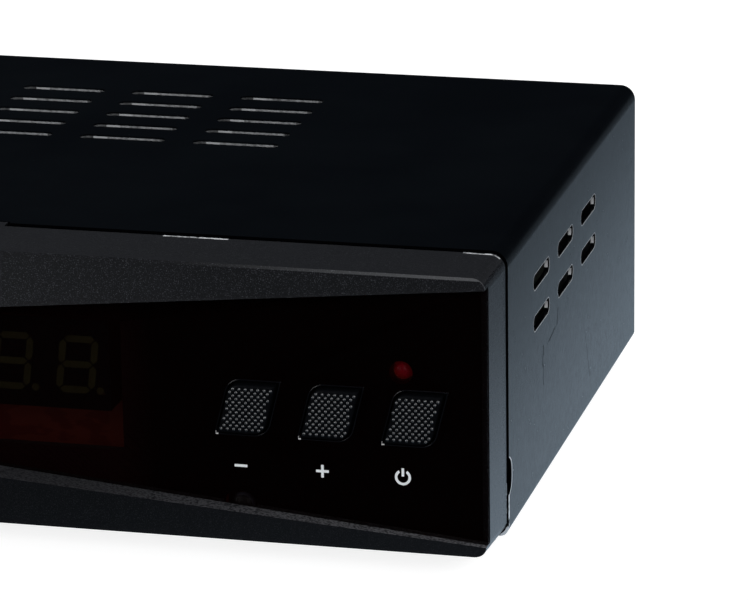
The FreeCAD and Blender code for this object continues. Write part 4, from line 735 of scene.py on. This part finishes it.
def around(radius, along, turn, axis):
    """Points at a radius and an angle about an axis: the other two parts are its cosine and sine."""
    sides = [radius * np.cos(turn), radius * np.sin(turn)]
    sides.insert("XYZ".index(axis), along)
    return np.stack(np.broadcast_arrays(*sides), axis=-1)


def turned(profile, ripple=0.0, count=32):
    """Rings of a turned shape: each (radius, along) of the profile is carried round the Y axis."""
    turn = np.linspace(0, 2 * math.pi, count, endpoint=False)
    return around(profile[:, :1] + ripple, profile[:, 1:2], turn, "Y")


def stand_in(piece, node):
    """Shows a piece of the case in place of a CAD node."""
    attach(piece, "root")
    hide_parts(node)


def bore(node):
    """Where the middle line of a node along Y crosses the plane at y = 0."""
    return np.array(middle(node)) * (1, 0, 1)


def aerial_socket(name, node):
    """Threaded shell: radius = size - depth * (1 - cos(turns of the pitch - angle)) / 2 on its thread."""
    start, end = span(node, "Y")
    size, hollow, pitch, depth, floor = 0.00475, 0.0036, 0.00079, 0.0005, 0.0022
    run = np.arange(end - 0.0074, end - 0.0006, pitch / 6)
    before = [(0, start), (0.006, start), (0.006, start + 0.0008), (size, start + 0.0008)]
    after = [(0.0043, end - 0.0003), (0.0041, end), (hollow, end), (hollow, end - floor), (0, end - floor)]
    profile = np.array(before + [(size, along) for along in run] + after)
    turn = np.linspace(0, 2 * math.pi, 32, endpoint=False)
    ripple = np.zeros((len(profile), 32))
    thread = slice(len(before), len(before) + len(run))
    ripple[thread] = (np.cos(2 * math.pi * run[:, None] / pitch - turn) - 1) * depth / 2
    stand_in(loft(name, turned(profile, ripple) + bore(node), nickel, sharp=30), node)


def aerial_core(name, node):
    """Core turned from a profile: a white disc across the bore, with a deep hole down its middle."""
    end = span(node, "Y")[1]
    profile = np.array([(0, -0.0060), (0.0006, -0.0060), (0.0006, -0.0012), (0.0010, -0.0009),
                        (0.0032, -0.0009), (0.0036, -0.0012), (0.0036, -0.0022), (0, -0.0022)]) + (0, end)
    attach(loft(name, turned(profile) + bore(node), insulator), "root")


insulator = Finish("insulator", (0.80, 0.80, 0.77), 0.5)
insulator.uneven(600.0, 0.42, 0.15)
for word in ("in", "loop"):
    aerial_socket(f"aerial_thread_{word}", f"aerial_socket_{word}")
    aerial_core(f"aerial_insulator_{word}", f"aerial_socket_{word}")

# Sound and picture jacks
# Black moulded housing, soldered to the main board. Each jack is a coloured moulding with a deep
# hole down its middle and a plated metal shell pressed round it.

jack_black = Finish("jack_black", (0.02, 0.02, 0.02), 0.45)
jack_black.uneven(900.0, 0.35, 0.2)
jack_black.on("jack_housing")
shell_length = 0.0081
for word, slot, tone in (("jack_picture", "jack_yellow", (0.80, 0.52, 0.03)),
                         ("jack_sound_left", "jack_white", (0.78, 0.78, 0.76)),
                         ("jack_sound_right", "jack_red", (0.55, 0.02, 0.02))):
    collar = Finish(f"{word}_collar", tone, 0.4, slot=slot)
    collar.uneven(900.0, 0.32, 0.15)
    start, end = span(word, "Y")
    edge = end - shell_length
    moulding = np.array([(0, start), (0.0052, start), (0.0052, edge - 0.0003), (0.0049, edge), (0.0037, edge),
                         (0.0035, end - 0.0010), (0.0033, end - 0.0008), (0.0021, end - 0.0008),
                         (0.0017, end - 0.0011), (0.0016, end - 0.0070), (0, end - 0.0070)])
    shell = np.array([(0.0036, edge - 0.0002), (0.00415, edge - 0.0002), (0.00415, end - 0.0003),
                      (0.0040, end), (0.0037, end), (0.0036, end - 0.0002), (0.0036, edge - 0.0002)])
    stand_in(loft(f"{word}_moulding", turned(moulding) + bore(word), collar), word)
    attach(loft(f"{word}_shell", turned(shell) + bore(word), nickel), "root")

# Digital sockets
# Folded nickel-plated shells, soldered to the main board. Each holds a black tongue with a row of
# gold-plated contacts on it.

shell_nickel = Finish("shell_nickel", (0.70, 0.69, 0.67), 0.26, 1.0)
shell_nickel.uneven(400.0, 0.2, 0.14)
shell_nickel.on("picture_port", "data_port")
tongue_black = Finish("tongue_black", (0.02, 0.02, 0.02), 0.5, slot="jack_black")
tongue_black.uneven(900.0, 0.4, 0.2)
contact_gold = Finish("contact_gold", (0.80, 0.56, 0.20), 0.3, 1.0, "pin_brass")
contact_gold.uneven(1500.0, 0.22, 0.12)


def blocks(name, spots, size, finish, bevel=0.2):
    """Blocks with cut edges at given middles: an eight-sided outline across, carried along Y."""
    half = np.array(size) / 2
    cut = min(half[0], half[2]) * bevel
    flank = np.array([(half[0] - cut, -half[2]), (half[0], cut - half[2]), (half[0], half[2] - cut),
                      (half[0] - cut, half[2])])
    outline = np.concatenate([flank, -flank])
    steps = np.array([(-half[1], 0.8), (-half[1] + cut, 1.0), (half[1] - cut, 1.0), (half[1], 0.8)])
    rings = np.stack([outline[None, :, 0] * steps[:, 1:], np.broadcast_to(steps[:, :1], (4, 8)),
                      outline[None, :, 1] * steps[:, 1:]], axis=-1)
    piece = loft(name, rings + np.array(spots)[:, None, None, :], finish, caps=True, sharp=30)
    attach(piece, "root")


tongue_long, tongue_thick, contact_long, contact_thick = 0.0088, 0.0020, 0.0062, 0.00024
for node, contacts, pitch in (("picture_port", 10, 0.0010), ("data_port", 4, 0.0021)):
    x_mid, _, z_mid = middle(node)
    left, right = span(node, "X")
    mouth = span(node, "Y")[1]
    tongue_wide = right - left - 0.0034
    blocks(f"{node}_tongue", [(x_mid, mouth - 0.0054, z_mid)], (tongue_wide, tongue_long, tongue_thick),
           tongue_black)
    row = x_mid + (np.arange(contacts) - (contacts - 1) / 2) * pitch
    blocks(f"{node}_contacts", [(x, mouth - 0.0045, z_mid + tongue_thick / 2) for x in row],
           (pitch * 0.5, contact_long, contact_thick), contact_gold)

# Chips and their cooler
# Black moulded packages, soldered to the boards by rows of tinned legs. An extruded alloy cooler is
# bonded to the largest.

chip_black = Finish("chip_black", (0.022, 0.022, 0.024), 0.55)
chip_black.uneven(1500.0, 0.45, 0.2)
chip_black.relief(chip_black.noise(3000.0), 0.00002)
chip_black.on("processor", "memory_chip", "flash_chip", "switcher_chip")
tinned = Finish("tinned", (0.62, 0.62, 0.60), 0.3, 1.0, "tuner_tin")
tinned.uneven(1500.0, 0.22, 0.15)


def chip_legs(name, node, pitch, sides, reach, thick=0.00015):
    """Bent legs along the sides of a chip: a flat strip that steps out, down and out."""
    low, high = (np.array(corner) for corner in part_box(node))
    tall, half_wide = (high[2] - low[2]) * 0.5, pitch * 0.22
    path = np.array([(-0.0001, tall), (reach * 0.35, tall), (reach * 0.55, thick), (reach, thick)])
    outline = np.concatenate([path, path[::-1] - (0, thick)])
    leg = np.stack([np.stack([outline[:, 0], np.full(len(outline), side), outline[:, 1]], axis=-1)
                    for side in (-half_wide, half_wide)])
    skins = []
    for letter, sign in sides:
        out = "XYZ".index(letter)
        run = 1 - out
        count = int(((high - low)[run] - pitch) / pitch / 2)
        flip = np.ones(3)
        flip[out] = sign
        shift = np.zeros((2 * count + 1, 1, 1, 3))
        shift[..., run] += (np.arange(-count, count + 1) * pitch + ((high + low) / 2)[run])[:, None, None]
        shift[..., out] += high[out] if sign > 0 else low[out]
        shift[..., 2] += low[2]
        skins.append((leg if letter == "X" else leg[..., [1, 0, 2]]) * flip + shift)
    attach(loft(name, np.concatenate(skins), tinned, caps=True, sharp=30), "root")


left_right, front_rear = [("X", 1), ("X", -1)], [("Y", 1), ("Y", -1)]
chip_legs("processor_legs", "processor", 0.0008, left_right + front_rear, 0.0013)
chip_legs("memory_legs", "memory_chip", 0.0008, left_right, 0.0010)
chip_legs("flash_legs", "flash_chip", 0.00127, front_rear, 0.0011)
chip_legs("switcher_legs", "switcher_chip", 0.00254, front_rear, 0.0012)
sink_alloy = Finish("sink_alloy", (0.50, 0.51, 0.53), 0.4, 1.0)
sink_alloy.uneven(200.0, 0.28, 0.25, 2.0, (1.0, 0.05, 1.0))
sink_alloy.on("heat_sink")

# Capacitors, coils and transformer
# Sleeved aluminium cans with a pale stripe, dark pressed ferrite, windings under layers of tape and
# a ring core wound with varnished copper wire. All are soldered to the boards.

sleeve = Finish("sleeve", (0.015, 0.02, 0.03), 0.3)
sleeve.uneven(300.0, 0.25, 0.1)
lid = sleeve.between(sleeve.facing("Z"), 0.90, 0.97)
stripe = sleeve.between(sleeve.facing("X"), 0.86, 0.90)
jacket = sleeve.tint(stripe, (0.012, 0.016, 0.026), (0.45, 0.46, 0.47))
sleeve.colour(sleeve.tint(lid, jacket, (0.66, 0.67, 0.68)))
sleeve.metallic(lid)
sleeve.on("main_capacitors", "bulk_capacitor", "output_capacitors")
ferrite = Finish("ferrite", (0.05, 0.05, 0.052), 0.7)
ferrite.relief(ferrite.noise(1600.0, 3.0), 0.00006)
ferrite.on("main_inductors", "transformer_core")
tape = Finish("tape", (0.70, 0.52, 0.10), 0.35)
tape.colour(tape.tint(tape.between(tape.noise(200.0), 0.4, 0.6), (0.62, 0.45, 0.08), (0.74, 0.57, 0.13)))
tape_width = 0.0032
layer = (tape.axis("Z") % tape_width) / tape_width
tape.relief(tape.between(layer, 0.0, 0.12) * 0.7 + tape.noise(500.0) * 0.3, 0.0002)
tape.on("transformer_winding")
copper_wire = Finish("copper_wire", (0.48, 0.17, 0.05), 0.3, 0.6)
copper_wire.uneven(700.0, 0.22, 0.15)
coil_turns, coil_radius, coil_split = 34, 0.009, 0.0013
beside = copper_wire.axis("X") - middle("line_filter")[0]
over = copper_wire.axis("Z") - (span("line_filter", "Z")[1] - coil_radius)
angle = over.maths("ARCTAN2", over, beside)
coil = angle.maths("SINE", angle * coil_turns) * 0.5 + 0.5
# Painted shade: the copper darkens between the turns of the winding.
winding_shade = copper_wire.tint(coil, (0.20, 0.06, 0.015), (0.60, 0.23, 0.07))
copper_wire.colour(copper_wire.tint(abs(beside) < coil_split, winding_shade, (0.03, 0.10, 0.05)))
copper_wire.relief(coil, 0.0004)
copper_wire.on("line_filter")

# Mains inlet, fuse and insulation
# Black moulded inlet with two plated pins, a glass fuse with metal caps, plated posts under the
# boards, and a sheet of fibre between the power board and the floor.

inlet_black = Finish("inlet_black", (0.016, 0.016, 0.017), 0.5)
inlet_black.uneven(1200.0, 0.4, 0.2)
inlet_black.relief(inlet_black.noise(2600.0), 0.00002)
inlet_black.on("mains_inlet")
plated = Finish("plated", (0.68, 0.60, 0.42), 0.28, 1.0, "pin_brass")
plated.uneven(600.0, 0.2, 0.12)
plated.on("board_standoffs")
pin_radius, pin_aside = 0.0012, 0.0043
start, end = span("mains_pins", "Y")
pin = turned(np.array([(0, start), (pin_radius, start), (pin_radius, end - 0.0008), (0.0009, end - 0.0002),
                       (0.0005, end), (0, end)]))
pin_spots = bore("mains_pins") + np.array([(-pin_aside, 0, 0), (pin_aside, 0, 0)])
stand_in(loft("mains_pin_tips", pin + pin_spots[:, None, None, :], plated, sharp=50), "mains_pins")
fuse_glass = Finish("fuse_glass", (0.70, 0.72, 0.74), 0.12, Alpha=0.6)
fuse_glass.uneven(300.0, 0.08, 0.08)
fuse_cap = 0.0052
low, high = span("mains_fuse", "X")
cap_metal = (fuse_glass.axis("X") < low + fuse_cap).over(fuse_glass.axis("X") > high - fuse_cap)
fuse_glass.colour(fuse_glass.tint(cap_metal, (0.70, 0.72, 0.74), (0.72, 0.71, 0.68)))
fuse_glass.metallic(cap_metal)
fuse_glass.feed(fuse_glass.shader.inputs["Alpha"], cap_metal.over(0.55))
fuse_glass.on("mains_fuse")
fibre = Finish("fibre", (0.72, 0.69, 0.58), 0.7)
fibre.mottled(500.0, (0.66, 0.62, 0.50), (0.78, 0.75, 0.66), 4.0)
fibre.on("insulation_sheet")

# Cables
# A flat ribbed grey ribbon and five loose wires in soft plastic, each of its own colour. They are
# crimped into nylon headers at their ends.

nylon = Finish("nylon", (0.78, 0.76, 0.68), 0.5)
nylon.uneven(800.0, 0.42, 0.15)
nylon.on("ribbon_headers", "power_headers")
ribbon_grey = Finish("ribbon_grey", (0.42, 0.43, 0.45), 0.45)
rib_pitch = 0.00127
# Painted shade: the grey darkens from the middle of each rib towards its edges.
rib_shade = abs((ribbon_grey.axis("X") % rib_pitch) - rib_pitch / 2) / (rib_pitch / 2)
ribbon_grey.colour(ribbon_grey.tint(rib_shade, (0.46, 0.47, 0.49), (0.30, 0.31, 0.33)))
ribbon_grey.on("front_ribbon")
wire_pvc = Finish("wire_pvc", (0.55, 0.03, 0.03), 0.4)
wire_pitch, wire_gap = 0.0025, 0.0005
wire_tones = [(0.50, 0.02, 0.02), (0.02, 0.02, 0.02), (0.70, 0.48, 0.03), (0.02, 0.02, 0.02),
              (0.70, 0.70, 0.68)]
place = (wire_pvc.axis("Y") - (span("power_harness", "Y")[0] - wire_gap)) / wire_pitch
tone = wire_tones[0]
for number, other in enumerate(wire_tones[1:], 1):
    tone = wire_pvc.tint(place > number, tone, other)
wire_pvc.colour(tone)
wire_pvc.uneven(700.0, 0.32, 0.15)
wire_pvc.on("power_harness")

# Screws
# Pan-head screws with a cross. Zinc-plated ones hold the boards to their posts and bosses, and
# blackened ones go through the cover's tabs into the rear wall.

zinc = Finish("zinc", (0.58, 0.58, 0.60), 0.3, 1.0, "screw_steel")
zinc.uneven(700.0, 0.22, 0.15)
blackened = Finish("blackened", (0.02, 0.02, 0.022), 0.35, 0.4, "screw_black")
blackened.uneven(900.0, 0.28, 0.15)


def screws(name, node, spots, axis, head, tall, shank, deep, finish):
    """Pan-head screws: height = tall * (1 - 0.45 * (r / head)^4), less 0.65 * tall inside the cross.

    The cross is where the smaller of |r cos t| and |r sin t| is under head / 8 and r under 0.6 * head.
    The shank's radius swings between 1 and 0.88 of its size, ring by ring.
    """
    turn = np.linspace(0, 2 * math.pi, 32, endpoint=False)
    share = np.array([0.0, 0.12, 0.24, 0.36, 0.48, 0.58, 0.62, 0.80, 0.95, 1.0])[:, None]
    cross = (np.minimum(abs(np.cos(turn)), abs(np.sin(turn))) * share < 0.125) & (share < 0.6)
    height = tall * (1 - 0.45 * share ** 4 - 0.65 * cross)
    crown = np.stack(np.broadcast_arrays(share * head, height), axis=-1)
    run = np.arange(0, deep, shank * 0.25)
    thread = np.stack([shank * (1 - 0.12 * (np.arange(len(run)) % 2)), -run], axis=-1)
    below = np.concatenate([[(head, 0.0)], thread, [(shank * 0.6, -deep), (0, -deep)]])
    profile = np.concatenate([crown, np.broadcast_to(below[:, None, :], (len(below), 32, 2))])
    rings = around(profile[..., 0], profile[..., 1], turn, axis)
    stand_in(loft(name, rings + np.array(spots)[:, None, None, :], finish, sharp=30), node)


def corners(low_x, high_x, low_y, high_y, edge):
    """Four places at one distance inside the corners of a rectangle."""
    return [(x, y) for x in (low_x + edge, high_x - edge) for y in (low_y + edge, high_y - edge)]


head, tall, shank, deep = 0.003, 0.002, 0.0015, 0.006
left, right = span("cover_screws", "X")
spots = [(x, span("cover_screws", "Y")[1] - tall, middle("cover_screws")[2])
         for x in (left + head, 0.0, right - head)]
screws("cover_screw_heads", "cover_screws", spots, "Y", head, tall, shank, deep, blackened)

head, tall, shank, deep = 0.0026, 0.0018, 0.0012, 0.005
main_edge, front_edge, inlet_depth = 0.005, 0.004, 0.022
board_top = span("main_board", "Z")[1]
main_front, power_front = span("main_board", "Y")[0], span("power_board", "Y")[0]
spots = corners(*span("main_board", "X"), main_front, span("tuner_can", "Y")[0], main_edge)
spots += corners(*span("power_board", "X"), power_front, span("power_board", "Y")[1] - inlet_depth, main_edge)
spots = [(x, y, board_top) for x, y in spots]
screws("board_screw_heads", "board_screws", spots, "Z", head, tall, shank, deep, zinc)
spots = corners(*span("front_board", "X"), *span("front_board", "Z"), front_edge)
spots = [(x, span("front_board", "Y")[1], z) for x, z in spots]
screws("front_screw_heads", "front_board_screws", spots, "Y", head, tall, shank, deep, zinc)
